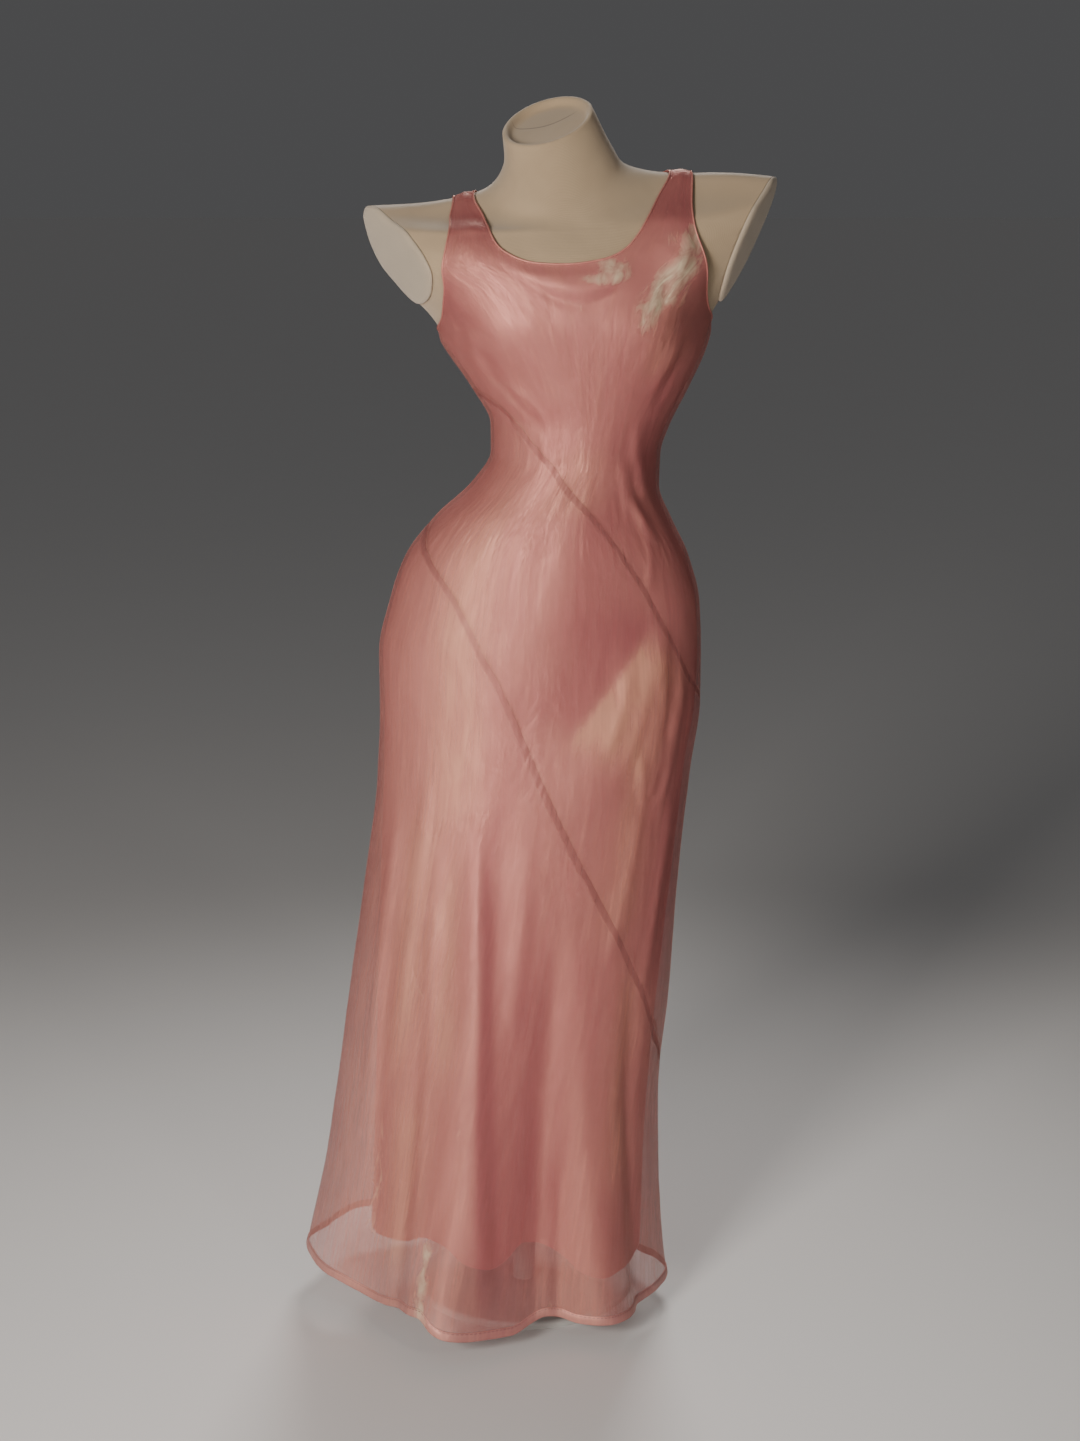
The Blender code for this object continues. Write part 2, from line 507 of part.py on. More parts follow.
# The turned hem is one ring round the skirt's foot.
hem_angles = np.arange(-180.0, 180.0, 180.0 / sum(ZONE_CELLS))
hem_rings = [outer_point(hem_angles, outer_hem(hem_angles) + rise) for rise in (0.0, HEM_DEPTH)]
count = len(hem_angles)
hem_mesh = bpy.data.meshes.new("hem_fold")
hem_mesh.from_pydata(np.concatenate(hem_rings).tolist(), [],
                     [(j, (j + 1) % count, (j + 1) % count + count, j + count) for j in range(count)])
thicken(add_object("hem_fold", hem_mesh, HEM_CLOTH), HEM_WALL)


def form_ring(level):
    """One ring of the form, with its points on the same columns as the dress."""
    both = [column_angles(zones, level)[:-1] for zones in (FRONT_ZONES, BACK_ZONES)]
    even = np.concatenate([np.linspace(zones[0], zones[-1], sum(ZONE_CELLS) + 1)[:-1]
                           for zones in (FRONT_ZONES, BACK_ZONES)])
    angles = np.concatenate(both)
    angles = angles + (even - angles) * ease((level - 1.232) / 0.025)
    return section_point(FIGURE, angles, np.full(len(angles), level))


def scaled(ring, scale, shift=(0.0, 0.0, 0.0)):
    centre = ring.mean(axis=0)
    return centre + (ring - centre) * scale + np.array(shift)


def lofted(bm, rings):
    """Adds quads between rings of points and a flat face at each end."""
    loops = [[bm.verts.new(point) for point in ring] for ring in rings]
    count = len(loops[0])
    for low, high in zip(loops[:-1], loops[1:]):
        for j in range(count):
            bm.faces.new((low[j], low[(j + 1) % count], high[(j + 1) % count], high[j]))
    bm.faces.new(tuple(reversed(loops[0])))
    bm.faces.new(tuple(loops[-1]))


# The form: rings from its foot to its slanted neck top, which is a shallow tray.
rings = []
lowest = form_ring(BODY_LEVELS[0])
for rise, scale in FORM_FOOT_ROWS:
    rings.append(scaled(lowest, scale, (0.0, 0.0, FORM_FOOT + rise - BODY_LEVELS[0])))
rings += [form_ring(level) for level in BODY_LEVELS + SHOULDER_LEVELS]
neck_rim = rings[-1]
tray_normal = np.cross(neck_rim[9] - neck_rim[0], neck_rim[18] - neck_rim[0])
tray_normal /= np.linalg.norm(tray_normal)
rings.append(scaled(neck_rim, 0.86))
rings.append(scaled(neck_rim, 0.80, -0.004 * tray_normal * np.sign(tray_normal[2])))

form = bmesh.new()
lofted(form, rings)
arm_outlines = {}
for side, point, normal in ARM_PLANE_ROWS:
    shoulder_faces = [face for face in form.faces if face.calc_center_median().z > ARM_LOWEST]
    shoulder_edges = list({edge for face in shoulder_faces for edge in face.edges})
    shoulder_verts = list({vert for face in shoulder_faces for vert in face.verts})
    cut = bmesh.ops.bisect_plane(form, geom=shoulder_verts + shoulder_edges + shoulder_faces, dist=1e-6,
                                 plane_co=point, plane_no=normal, clear_outer=True)
    cut_edges = [part for part in cut["geom_cut"] if isinstance(part, bmesh.types.BMEdge)]
    bmesh.ops.contextual_create(form, geom=cut_edges)
    form.faces.ensure_lookup_table()
    end_face = max(form.faces, key=lambda face: len(face.verts) if set(face.edges) <= set(cut_edges) else 0)
    arm_outlines[side] = np.array([list(vert.co) for vert in end_face.verts])
bmesh.ops.recalc_face_normals(form, faces=form.faces[:])
form_mesh = bpy.data.meshes.new("form_torso")
form.to_mesh(form_mesh)
form.free()
add_object("form_torso", form_mesh, JERSEY)

for side, point, normal in ARM_PLANE_ROWS:
    outward = np.array(normal) / np.linalg.norm(normal)
    plate = bmesh.new()
    lofted(plate, [scaled(arm_outlines[side], scale, outward * (TOUCH_GAP + rise))
                   for rise, scale in ARM_PLATE_RINGS])
    bmesh.ops.recalc_face_normals(plate, faces=plate.faces[:])
    plate_mesh = bpy.data.meshes.new("form_arm_plate_" + side)
    plate.to_mesh(plate_mesh)
    plate.free()
    add_object("form_arm_plate_" + side, plate_mesh, PLATE_JERSEY)


def turned(name, profile, look, closed, steps):
    """A profile of (radius, height) points turned round the Z axis."""
    mesh = bpy.data.meshes.new(name)
    last = len(profile) - 1
    edges = [(k, k + 1) for k in range(last)] + ([(last, 0)] if closed else [])
    mesh.from_pydata([(radius, 0.0, height) for radius, height in profile], edges, [])
    mesh.materials.append(look)
    made = bpy.data.objects.new(name, mesh)
    collection.objects.link(made)
    screw = made.modifiers.new("turn", "SCREW")
    screw.steps = screw.render_steps = steps
    screw.use_merge_vertices = not closed
    screw.merge_threshold = 0.0001
    return made


collar_top = FORM_FOOT - TOUCH_GAP
collar_foot = collar_top - COLLAR_HEIGHT
turned("stand_collar", [
    (POLE_RADIUS + TOUCH_GAP, collar_top), (COLLAR_RADIUS, collar_top), (COLLAR_RADIUS, collar_top - 0.005),
    (COLLAR_HUB_RADIUS, collar_top - 0.008), (COLLAR_HUB_RADIUS, collar_foot + 0.001),
    (COLLAR_HUB_RADIUS - 0.001, collar_foot), (POLE_RADIUS + TOUCH_GAP, collar_foot)], STAND_PAINT, True, 28)
turned("stand_pole", [
    (0.0, collar_top), (POLE_RADIUS, collar_top), (POLE_RADIUS, BASE_THICKNESS + TOUCH_GAP),
    (0.0, BASE_THICKNESS + TOUCH_GAP)], STAND_PAINT, False, 28)
turned("stand_base", [
    (0.0, BASE_THICKNESS), (BASE_RADIUS - 0.004, BASE_THICKNESS),
    (BASE_RADIUS - 0.001, BASE_THICKNESS - 0.0015), (BASE_RADIUS, BASE_THICKNESS - 0.004),
    (BASE_RADIUS, 0.0), (0.0, 0.0)], STAND_PAINT, False, 48)
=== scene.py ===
"""The looks of a sheer-over-satin mermaid dress on a limbless dress form.

Metres, +Z up. The origin is on the floor under the form's pole, the front of the dress faces -Y, and left
and right mean the viewer's left (-X) and right (+X). Angles round the figure are in degrees: 0 at its right
side, -90 at the middle of its front, 90 at the middle of its back, and 180 or -180 at its left side.
"""

import functools
import math

import bmesh
import bpy
import mathutils
import numpy as np
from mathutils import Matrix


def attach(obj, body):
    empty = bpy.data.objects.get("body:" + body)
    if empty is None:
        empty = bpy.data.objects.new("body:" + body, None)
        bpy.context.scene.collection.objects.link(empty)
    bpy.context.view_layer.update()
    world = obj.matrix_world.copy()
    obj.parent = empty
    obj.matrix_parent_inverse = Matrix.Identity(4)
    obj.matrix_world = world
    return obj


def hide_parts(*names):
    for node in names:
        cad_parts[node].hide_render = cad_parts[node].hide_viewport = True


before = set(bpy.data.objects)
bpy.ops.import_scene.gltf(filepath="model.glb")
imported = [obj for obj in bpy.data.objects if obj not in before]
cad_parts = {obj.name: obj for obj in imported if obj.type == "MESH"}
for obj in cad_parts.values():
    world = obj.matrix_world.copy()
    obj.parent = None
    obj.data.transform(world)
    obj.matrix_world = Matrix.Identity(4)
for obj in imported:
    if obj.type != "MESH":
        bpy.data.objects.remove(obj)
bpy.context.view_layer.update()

# ---------------------------------------------------------------------------------------------------------
# Camera
# It stands just above the height of the neck and looks down towards the hem through a long lens.
# ---------------------------------------------------------------------------------------------------------


def put_in_scene(name, data, location=(0.0, 0.0, 0.0), rotation=(0.0, 0.0, 0.0)):
    """A new object from its data, linked to the scene at a place and a turn."""
    thing = bpy.data.objects.new(name, data)
    thing.location, thing.rotation_euler = location, rotation
    bpy.context.scene.collection.objects.link(thing)
    return thing


camera_data = bpy.data.cameras.new("camera")
camera_data.sensor_width = 36.0
camera_data.lens = 62.46
bpy.context.scene.camera = put_in_scene(
    "camera", camera_data, (0.018, -2.63, 1.235), (math.radians(90.0 - 12.5), 0.0, 0.0))

# ---------------------------------------------------------------------------------------------------------
# The form's torso
# A hard limbless torso under stretched cream jersey, with a slanted neck top that sinks into a shallow tray.
# It is a stack of smooth sections, cut off by two planes where its arms end.
# ---------------------------------------------------------------------------------------------------------

FIGURE_FORWARD = 0.030   # the figure stands this far forward of its pole
FORM_FOOT = 0.640        # underside of the torso
FIGURE_COLUMNS = ("level", "left", "right", "front", "back", "shoulder", "stump",
                  "lift_left", "lift_right", "lift_front", "lift_back")
FIGURE_ROWS = (
    (0.625, -0.126, 0.160, 0.086, 0.100, 0.0, 0.045, 0.0, 0.0, 0.0, 0.0),
    (0.685, -0.140, 0.177, 0.092, 0.114, 0.0, 0.045, 0.0, 0.0, 0.0, 0.0),
    (0.735, -0.146, 0.182, 0.094, 0.120, 0.0, 0.045, 0.0, 0.0, 0.0, 0.0),
    (0.785, -0.135, 0.180, 0.095, 0.119, 0.0, 0.045, 0.0, 0.0, 0.0, 0.0),
    (0.835, -0.117, 0.168, 0.094, 0.107, 0.0, 0.045, 0.0, 0.0, 0.0, 0.0),
    (0.875, -0.086, 0.149, 0.090, 0.092, 0.0, 0.045, 0.0, 0.0, 0.0, 0.0),
    (0.910, -0.048, 0.136, 0.085, 0.080, 0.0, 0.045, 0.0, 0.0, 0.0, 0.0),
    (0.945, -0.027, 0.137, 0.082, 0.073, 0.0, 0.045, 0.0, 0.0, 0.0, 0.0),
    (0.975, -0.027, 0.146, 0.083, 0.072, 0.0, 0.045, 0.0, 0.0, 0.0, 0.0),
    (1.015, -0.047, 0.166, 0.090, 0.077, 0.0, 0.045, 0.0, 0.0, 0.0, 0.0),
    (1.055, -0.075, 0.184, 0.098, 0.083, 0.1, 0.045, 0.0, 0.0, 0.0, 0.0),
    (1.085, -0.094, 0.193, 0.102, 0.088, 0.3, 0.046, 0.0, 0.0, 0.0, 0.0),
    (1.115, -0.128, 0.213, 0.102, 0.091, 0.7, 0.047, 0.0, 0.0, 0.0, 0.0),
    (1.145, -0.180, 0.248, 0.096, 0.090, 1.0, 0.047, -0.005, 0.005, -0.004, 0.000),
    (1.175, -0.200, 0.274, 0.086, 0.085, 1.0, 0.045, -0.010, 0.010, -0.016, -0.005),
    (1.197, -0.200, 0.284, 0.0775, 0.077, 1.0, 0.040, -0.013, 0.013, -0.026, -0.012),
    (1.211, -0.176, 0.274, 0.0745, 0.070, 1.0, 0.032, -0.017, 0.011, -0.036, -0.018),
    (1.219, -0.118, 0.220, 0.0725, 0.066, 1.0, 0.026, -0.023, 0.009, -0.041, -0.022),
    (1.227, -0.076, 0.176, 0.0700, 0.062, 0.8, 0.026, -0.026, 0.0005, -0.045, -0.024),
    (1.235, -0.042, 0.135, 0.0665, 0.060, 0.5, 0.034, -0.026, -0.007, -0.047, -0.022),
    (1.245, -0.025, 0.103, 0.0615, 0.058, 0.2, 0.045, -0.022, -0.009, -0.046, -0.015),
    (1.260, -0.018, 0.092, 0.054, 0.055, 0.0, 0.045, -0.018, -0.008, -0.038, 0.000),
    (1.278, -0.020, 0.072, 0.044, 0.050, 0.0, 0.045, -0.0115, 0.0115, -0.023, 0.023),
)
# Columns: facing, angle from the middle, level, reach, spread_deg, spread_up.
MOUND_ROWS = (
    ("front", -33.0, 1.083, 0.016, 21.0, 0.043),
    ("front", 33.0, 1.083, 0.016, 21.0, 0.043),
    ("back", -34.0, 0.765, 0.006, 28.0, 0.060),
    ("back", 34.0, 0.765, 0.006, 28.0, 0.060),
)
# Columns: share of the way up, level. They crowd together over the shoulders, where the form turns inwards.
FORM_RING_ROWS = (
    (0.00, 0.665), (0.35, 1.000), (0.45, 1.084), (0.60, 1.172), (0.70, 1.206), (0.80, 1.224), (0.88, 1.237),
    (0.94, 1.256), (1.00, 1.278))
FORM_FOOT_ROWS = ((0.000, 0.86), (0.003, 0.94), (0.010, 0.985), (0.025, 1.0))
# Columns: scale of the neck's rim, how far the tray's surface lies above (or below) the rim's plane.
NECK_TRAY_ROWS = (
    (0.995, 0.0012), (0.975, 0.0022), (0.945, 0.0026), (0.91, 0.0022), (0.88, 0.0010), (0.85, -0.0012),
    (0.82, -0.0030), (0.78, -0.0040), (0.70, -0.0044), (0.55, -0.0042), (0.35, -0.0040), (0.15, -0.0040))
# Columns: side, a point of the plane where the arm ends, the way it faces.
ARM_PLANE_ROWS = (
    ("left", (-0.1310, -0.030, 1.148), (-0.842, -0.421, -0.337)),
    ("right", (0.2293, -0.030, 1.164), (0.892, -0.260, -0.365)),
)
ARM_LOWEST = 1.087       # the arm planes cut only above this height


def smooth_curve(knots, values):
    """A cubic through (knots, values) whose slope at a knot is the weighted harmonic mean of the slopes either
    side of it, or zero where they differ in sign, so that it never overshoots."""
    knots, values = np.asarray(knots, float), np.asarray(values, float)
    step = np.diff(knots)
    slope = np.diff(values) / step
    tangent = np.zeros_like(values)
    before, after = slope[:-1], slope[1:]
    weight_before, weight_after = 2 * step[1:] + step[:-1], step[1:] + 2 * step[:-1]
    same_way = before * after > 0
    safe_before, safe_after = np.where(same_way, before, 1.0), np.where(same_way, after, 1.0)
    harmonic = (weight_before + weight_after) / (weight_before / safe_before + weight_after / safe_after)
    tangent[1:-1] = np.where(same_way, harmonic, 0.0)
    tangent[0], tangent[-1] = slope[0], slope[-1]

    def at(where):
        where = np.clip(where, knots[0], knots[-1])
        i = np.clip(np.searchsorted(knots, where) - 1, 0, len(step) - 1)
        t = (where - knots[i]) / step[i]
        return ((2 * t**3 - 3 * t**2 + 1) * values[i] + (t**3 - 2 * t**2 + t) * step[i] * tangent[i]
                + (3 * t**2 - 2 * t**3) * values[i + 1] + (t**3 - t**2) * step[i] * tangent[i + 1])

    return at


def table_curves(columns, rows):
    """A curve for each column of a table over its first column: the smooth curve through its values, averaged
    over a few millimetres with bell-shaped weights so that no row shows as a ring."""
    values = np.array(rows, float)
    step, spread = 0.0005, 0.0040
    weights = np.exp(-(np.arange(-3 * spread, 3 * spread + step / 2, step) / spread) ** 2)
    margin = len(weights) // 2
    fine = np.arange(values[0, 0], values[-1, 0] + step / 2, step)
    curves = {}
    for k, name in enumerate(columns):
        samples = smooth_curve(values[:, 0], values[:, k])(fine)
        padded = np.pad(samples, margin, mode="reflect", reflect_type="odd")
        curves[name] = functools.partial(
            np.interp, xp=fine, fp=np.convolve(padded, weights / weights.sum(), mode="valid"))
    return curves


def angle_gap(a, b):
    """The signed difference of two angles in degrees, between -180 and 180."""
    return (a - b + 180.0) % 360.0 - 180.0


def bell(angle, level, middle, height, spread_deg, spread_up):
    """A round bell shape on the figure, 1 at its middle."""
    return np.exp(-(angle_gap(angle, middle) / spread_deg) ** 2 - ((level - height) / spread_up) ** 2)


def section_point(sections, angle, level):
    """A point of the section at a level: an oval with separate left, right, front and back reaches. Its shoulder
    value raises sine and cosine to powers that flatten the oval into a blunt-ended one, its lifts tilt and bow
    it, its turn swings it round, and the mounds add round bell-shaped swellings."""
    angle, level = np.broadcast_arrays(np.asarray(angle, float), np.asarray(level, float))
    at = {name: curve(level) for name, curve in sections.items()}
    c, s = np.cos(np.radians(angle)), np.sin(np.radians(angle))
    depth = np.where(s < 0, at["front"], at["back"])
    stump = np.minimum(at["stump"], depth)
    end_share = np.abs(s) ** (1.0 - 0.35 * at["shoulder"])
    middle_share = np.abs(s) ** (1.0 + 3.5 * at["shoulder"])
    x_share = np.sign(c) * np.abs(c) ** (1.0 - 0.25 * at["shoulder"])
    x = (at["left"] + at["right"]) / 2 + (at["right"] - at["left"]) / 2 * x_share
    y = np.sign(s) * (stump * end_share + (depth - stump) * middle_share)
    sideways = c * c * (at["lift_left"] + at["lift_right"]) + c * (at["lift_right"] - at["lift_left"])
    fore_and_aft = s * s * (at["lift_front"] + at["lift_back"]) + s * (at["lift_back"] - at["lift_front"])
    z = level + (sideways + fore_and_aft) / 2
    if "turn" in sections:
        centre = (at["left"] + at["right"]) / 2
        ct, st = np.cos(np.radians(at["turn"])), np.sin(np.radians(at["turn"]))
        x, y = centre + (x - centre) * ct - y * st, (x - centre) * st + y * ct
    for facing, aside, height, reach, spread_deg, spread_up in MOUND_ROWS:
        middle = (-90.0 if facing == "front" else 90.0) + aside
        swell = reach * bell(angle, level, middle, height, spread_deg, spread_up)
        x = x + swell * math.cos(math.radians(middle)) * 0.5
        y = y + swell * math.sin(math.radians(middle))
    return np.stack([x, y - FIGURE_FORWARD, z], axis=-1)


def place_on_root(piece, slot, *nodes):
    """The piece rides with the whole object and stands for its solids. Its slot is not used."""
    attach(piece, "root")
    if nodes:
        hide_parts(*nodes)


def mesh_piece(name, points, faces, look, uv=None, marks=None):
    """A smooth-shaded piece from arrays of points and faces, with an optional flat place and four optional
    numbers for each point."""
    mesh = bpy.data.meshes.new(name)
    mesh.from_pydata(np.asarray(points).tolist(), [], np.asarray(faces).tolist())
    mesh.polygons.foreach_set("use_smooth", np.ones(len(mesh.polygons), bool))
    if uv is not None:
        layer = mesh.uv_layers.new(name="cut")
        corner = np.empty(len(mesh.loops), np.int32)
        mesh.loops.foreach_get("vertex_index", corner)
        layer.data.foreach_set("uv", np.asarray(uv, np.float32)[corner].ravel())
    if marks is not None:
        mesh.attributes.new("marks", "FLOAT_COLOR", "POINT").data.foreach_set(
            "color", np.asarray(marks, np.float32).ravel())
    mesh.materials.append(look)
    return put_in_scene(name, mesh)


def ring_piece(name, rings, look, uv=None, marks=None, turn_closed=False):
    """A piece of quads between rings of points, with its places and marks laid out as the rings are. A closed turn
    joins the last ring to the first."""
    rows, columns = rings.shape[:2]
    i, j = np.meshgrid(np.arange(rows - (not turn_closed)), np.arange(columns), indexing="ij")
    up, along = (i + 1) % rows, (j + 1) % columns
    corners = (i * columns + j, i * columns + along, up * columns + along, up * columns + j)
    return mesh_piece(name, rings.reshape(-1, 3), np.stack(corners, axis=-1).reshape(-1, 4), look,
                      None if uv is None else uv.reshape(-1, 2), marks)


def close_ends(piece):
    """Fills the open first and last rings of a piece, and turns all its faces outwards."""
    work = bmesh.new()
    work.from_mesh(piece.data)
    open_edges = [edge for edge in work.edges if len(edge.link_faces) == 1]
    bmesh.ops.edgeloop_fill(work, edges=open_edges)
    bmesh.ops.recalc_face_normals(work, faces=work.faces[:])
    work.to_mesh(piece.data)
    work.free()


def scaled(ring, scale, shift=(0.0, 0.0, 0.0)):
    """The ring shrunk towards its own centre and then shifted."""
    centre = ring.mean(axis=0)
    return centre + (ring - centre) * scale + np.array(shift)


def shader_group(name, inputs, outputs):
    """An empty node group with its named inputs and outputs, and its input and output nodes."""
    group = bpy.data.node_groups.new(name, "ShaderNodeTree")
    for label, kind, value in inputs:
        socket = group.interface.new_socket(label, in_out="INPUT", socket_type=kind)
        if value is not None:
            socket.default_value = value
    for label, kind in outputs:
        group.interface.new_socket(label, in_out="OUTPUT", socket_type=kind)
    return group, group.nodes.new("NodeGroupInput"), group.nodes.new("NodeGroupOutput")


def add_node(tree, kind, links=(), **settings):
    """A node with its settings and its inputs: each of links is (input, value or the socket that feeds it)."""
    node = tree.nodes.new(kind)
    for key, value in settings.items():
        setattr(node, key, value)
    for label, value in links:
        if isinstance(value, bpy.types.NodeSocket):
            tree.links.new(value, node.inputs[label])
        else:
            node.inputs[label].default_value = value
    return node


def blend_colours(tree, share, first, second):
    """The socket of a colour that runs from first to second as the share goes from 0 to 1."""
    node = add_node(tree, "ShaderNodeMix", [(0, share)], data_type="RGBA")
    for index, value in ((6, first), (7, second)):
        if isinstance(value, bpy.types.NodeSocket):
            tree.links.new(value, node.inputs[index])
        else:
            node.inputs[index].default_value = (*value, 1.0)
    return node.outputs[2]


def worked_out(tree, operation, *values, clamp=False):
    """The socket of a sum, product or other operation on values and sockets."""
    return add_node(tree, "ShaderNodeMath", enumerate(values), operation=operation, use_clamp=clamp).outputs[0]


def rescaled(tree, value, low, high, first, last):
    """The socket of a value that runs from first to last, as the given one goes from low to high."""
    return add_node(tree, "ShaderNodeMapRange", [
        ("Value", value), ("From Min", low), ("From Max", high), ("To Min", first),
        ("To Max", last)]).outputs["Result"]


def effect(tree, group, place, scale, **values):
    """The outputs of a shared effect, at a place and a scale and with its own values."""
    return add_node(tree, "ShaderNodeGroup", [("Vector", place), ("Scale", scale), *values.items()],
                    node_tree=group).outputs


def new_look(name, **constants):
    """A material and its nodes, with the plain values of its surface shader."""
    look = bpy.data.materials.new(name)
    look.use_nodes = True
    for label, value in constants.items():
        look.node_tree.nodes["Principled BSDF"].inputs[label.replace("_", " ")].default_value = value
    return look, look.node_tree


def feed_shader(look, **sockets):
    """Links each socket to the input of that name of the look's surface shader."""
    for label, socket in sockets.items():
        look.node_tree.links.new(
            socket, look.node_tree.nodes["Principled BSDF"].inputs[label.replace("_", " ")])


def relief(tree, strength, distance, height):
    """The normal that a height gives."""
    return add_node(tree, "ShaderNodeBump", [
        ("Strength", strength), ("Distance", distance), ("Height", height)]).outputs["Normal"]


# Soft blotches between two colours, for cloth that has faded or been handled unevenly.
mottle, mottle_in, mottle_out = shader_group(
    "mottle",
    [("Vector", "NodeSocketVector", None), ("Scale", "NodeSocketFloat", 6.0), ("Contrast", "NodeSocketFloat", 0.5),
     ("Light", "NodeSocketColor", (0.6, 0.5, 0.4, 1)), ("Dark", "NodeSocketColor", (0.4, 0.3, 0.2, 1))],
    [("Color", "NodeSocketColor"), ("Mask", "NodeSocketFloat")])
mottle_noise = add_node(mottle, "ShaderNodeTexNoise", [
    ("Vector", mottle_in.outputs["Vector"]), ("Scale", mottle_in.outputs["Scale"]), ("Detail", 3.0),
    ("Roughness", 0.6), ("Distortion", 0.4)]).outputs["Fac"]
mottle_stretched = worked_out(mottle, "MULTIPLY", worked_out(mottle, "SUBTRACT", mottle_noise, 0.5),
                              mottle_in.outputs["Contrast"])
mottle_mask = worked_out(mottle, "ADD", mottle_stretched, 0.5, clamp=True)
mottle.links.new(blend_colours(mottle, mottle_mask, mottle_in.outputs["Dark"], mottle_in.outputs["Light"]),
                 mottle_out.inputs["Color"])
mottle.links.new(mottle_mask, mottle_out.inputs["Mask"])

# The relief of knitted or woven threads: two sets of even waves at right angles.
threads, threads_in, threads_out = shader_group(
    "threads", [("Vector", "NodeSocketVector", None), ("Scale", "NodeSocketFloat", 400.0)],
    [("Height", "NodeSocketFloat")])
thread_waves = [add_node(threads, "ShaderNodeTexWave", [
    ("Vector", threads_in.outputs["Vector"]), ("Scale", threads_in.outputs["Scale"]), ("Distortion", 0.6),
    ("Detail", 0.0)], bands_direction=way).outputs["Fac"] for way in ("X", "Y")]
threads.links.new(worked_out(threads, "MULTIPLY", *thread_waves), threads_out.inputs["Height"])


def jersey(name, light, dark):
    """Matt stretched jersey, a little soiled, with its fine knit as relief."""
    look, tree = new_look(name, Sheen_Weight=0.25, Sheen_Roughness=0.6, Specular_IOR_Level=0.25)
    place = add_node(tree, "ShaderNodeTexCoord").outputs["Object"]
    blotches = effect(tree, mottle, place, 9.0, Contrast=1.6, Light=(*light, 1), Dark=(*dark, 1))
    knit = effect(tree, threads, place, 330.0)["Height"]
    rumple = add_node(tree, "ShaderNodeTexNoise", [("Vector", place), ("Scale", 34.0), ("Detail", 3.0)])
    height = worked_out(tree, "MULTIPLY_ADD", rumple.outputs["Fac"], 1.6, knit)
    feed_shader(look, Base_Color=blotches["Color"], Normal=relief(tree, 0.35, 0.0004, height),
                Roughness=rescaled(tree, blotches["Mask"], 0.0, 1.0, 0.92, 0.78))
    return look


def mark_over(look, mask, colour):
    """Lays a colour over a look's own where the mask is 1."""
    tree = look.node_tree
    base = tree.nodes["Principled BSDF"].inputs["Base Color"]
    tree.links.new(blend_colours(tree, mask, base.links[0].from_socket, colour), base)


def painted_fold_shadow(look):
    """The painted shadow of a fold of the jersey across the neck's top: a thin dark line, less than 2.4 mm wide,
    along the parabola y = 13 (x - 0.022)^2 - 0.024, which fades from 24 to 35 mm either side of its foremost
    point."""
    tree = look.node_tree
    place = add_node(tree, "ShaderNodeSeparateXYZ", [
        ("Vector", add_node(tree, "ShaderNodeTexCoord").outputs["Object"])]).outputs
    aside = worked_out(tree, "SUBTRACT", place["X"], 0.022)
    square = worked_out(tree, "MULTIPLY", aside, aside)
    line = worked_out(tree, "MULTIPLY_ADD", square, 13.0, -0.024)
    gap = worked_out(tree, "ABSOLUTE", worked_out(tree, "SUBTRACT", place["Y"], line))
    near = rescaled(tree, gap, 0.0004, 0.0012, 0.75, 0.0)
    middle = rescaled(tree, square, 0.0006, 0.0012, 1.0, 0.0)
    top = rescaled(tree, place["Z"], 1.268, 1.272, 0.0, 1.0)
    there = worked_out(tree, "MULTIPLY", middle, top)
    mark_over(look, worked_out(tree, "MULTIPLY", near, there), (0.075, 0.050, 0.032))


figure = table_curves(FIGURE_COLUMNS, FIGURE_ROWS)
form_angles = np.arange(-180.0, 180.0, 2.0)
ring_shares = np.linspace(0.0, 1.0, 121)
form_levels = smooth_curve(*np.array(FORM_RING_ROWS).T)(ring_shares)
body_rings = section_point(figure, form_angles[None, :], form_levels[:, None])
foot_scale = smooth_curve(*np.array(FORM_FOOT_ROWS).T)
foot_rings = [scaled(body_rings[0], foot_scale(rise), (0.0, 0.0, FORM_FOOT + rise - form_levels[0]))
              for rise in (0.0, 0.0008, 0.002, 0.004, 0.007, 0.011, 0.017)]
neck_rim = body_rings[-1]
quarter = len(form_angles) // 4
tray_normal = np.cross(neck_rim[quarter] - neck_rim[0], neck_rim[2 * quarter] - neck_rim[0])
tray_normal *= math.copysign(1.0, tray_normal[2]) / np.linalg.norm(tray_normal)
tray_rings = [scaled(neck_rim, scale, tray_normal * rise) for scale, rise in NECK_TRAY_ROWS]
form_rings = np.concatenate([foot_rings, body_rings, tray_rings])

form_look = jersey("form_jersey", (0.45, 0.33, 0.205), (0.34, 0.25, 0.155))
# Painted shade: a thin dark line where a fold crosses the neck's top.
painted_fold_shadow(form_look)
form = ring_piece("form_torso_jersey", form_rings, form_look)
close_ends(form)
cutting = bmesh.new()
cutting.from_mesh(form.data)
arm_outlines = {}
for side, point, normal in ARM_PLANE_ROWS:
    faces = [face for face in cutting.faces if face.calc_center_median().z > ARM_LOWEST]
    edges = list(dict.fromkeys(edge for face in faces for edge in face.edges))
    verts = list(dict.fromkeys(vert for face in faces for vert in face.verts))
    cut = bmesh.ops.bisect_plane(cutting, geom=verts + edges + faces, dist=1e-6, plane_co=point,
                                 plane_no=normal, clear_outer=True)
    cut_edges = [part for part in cut["geom_cut"] if isinstance(part, bmesh.types.BMEdge)]
    arm_end = bmesh.ops.contextual_create(cutting, geom=cut_edges)["faces"][0]
    arm_end.smooth = False
    arm_outlines[side] = np.array([list(vert.co) for vert in arm_end.verts])
cutting.to_mesh(form.data)
cutting.free()
form.data.set_sharp_from_angle(angle=math.radians(50.0))
place_on_root(form, "cream_jersey", "form_torso")

# ---------------------------------------------------------------------------------------------------------
# The form's arm plates
# A slightly domed disc under its own piece of jersey closes each arm, and its turned edge shows as a seam.
# ---------------------------------------------------------------------------------------------------------

PLATE_GAP = 0.0003       # between the arm's end and its plate
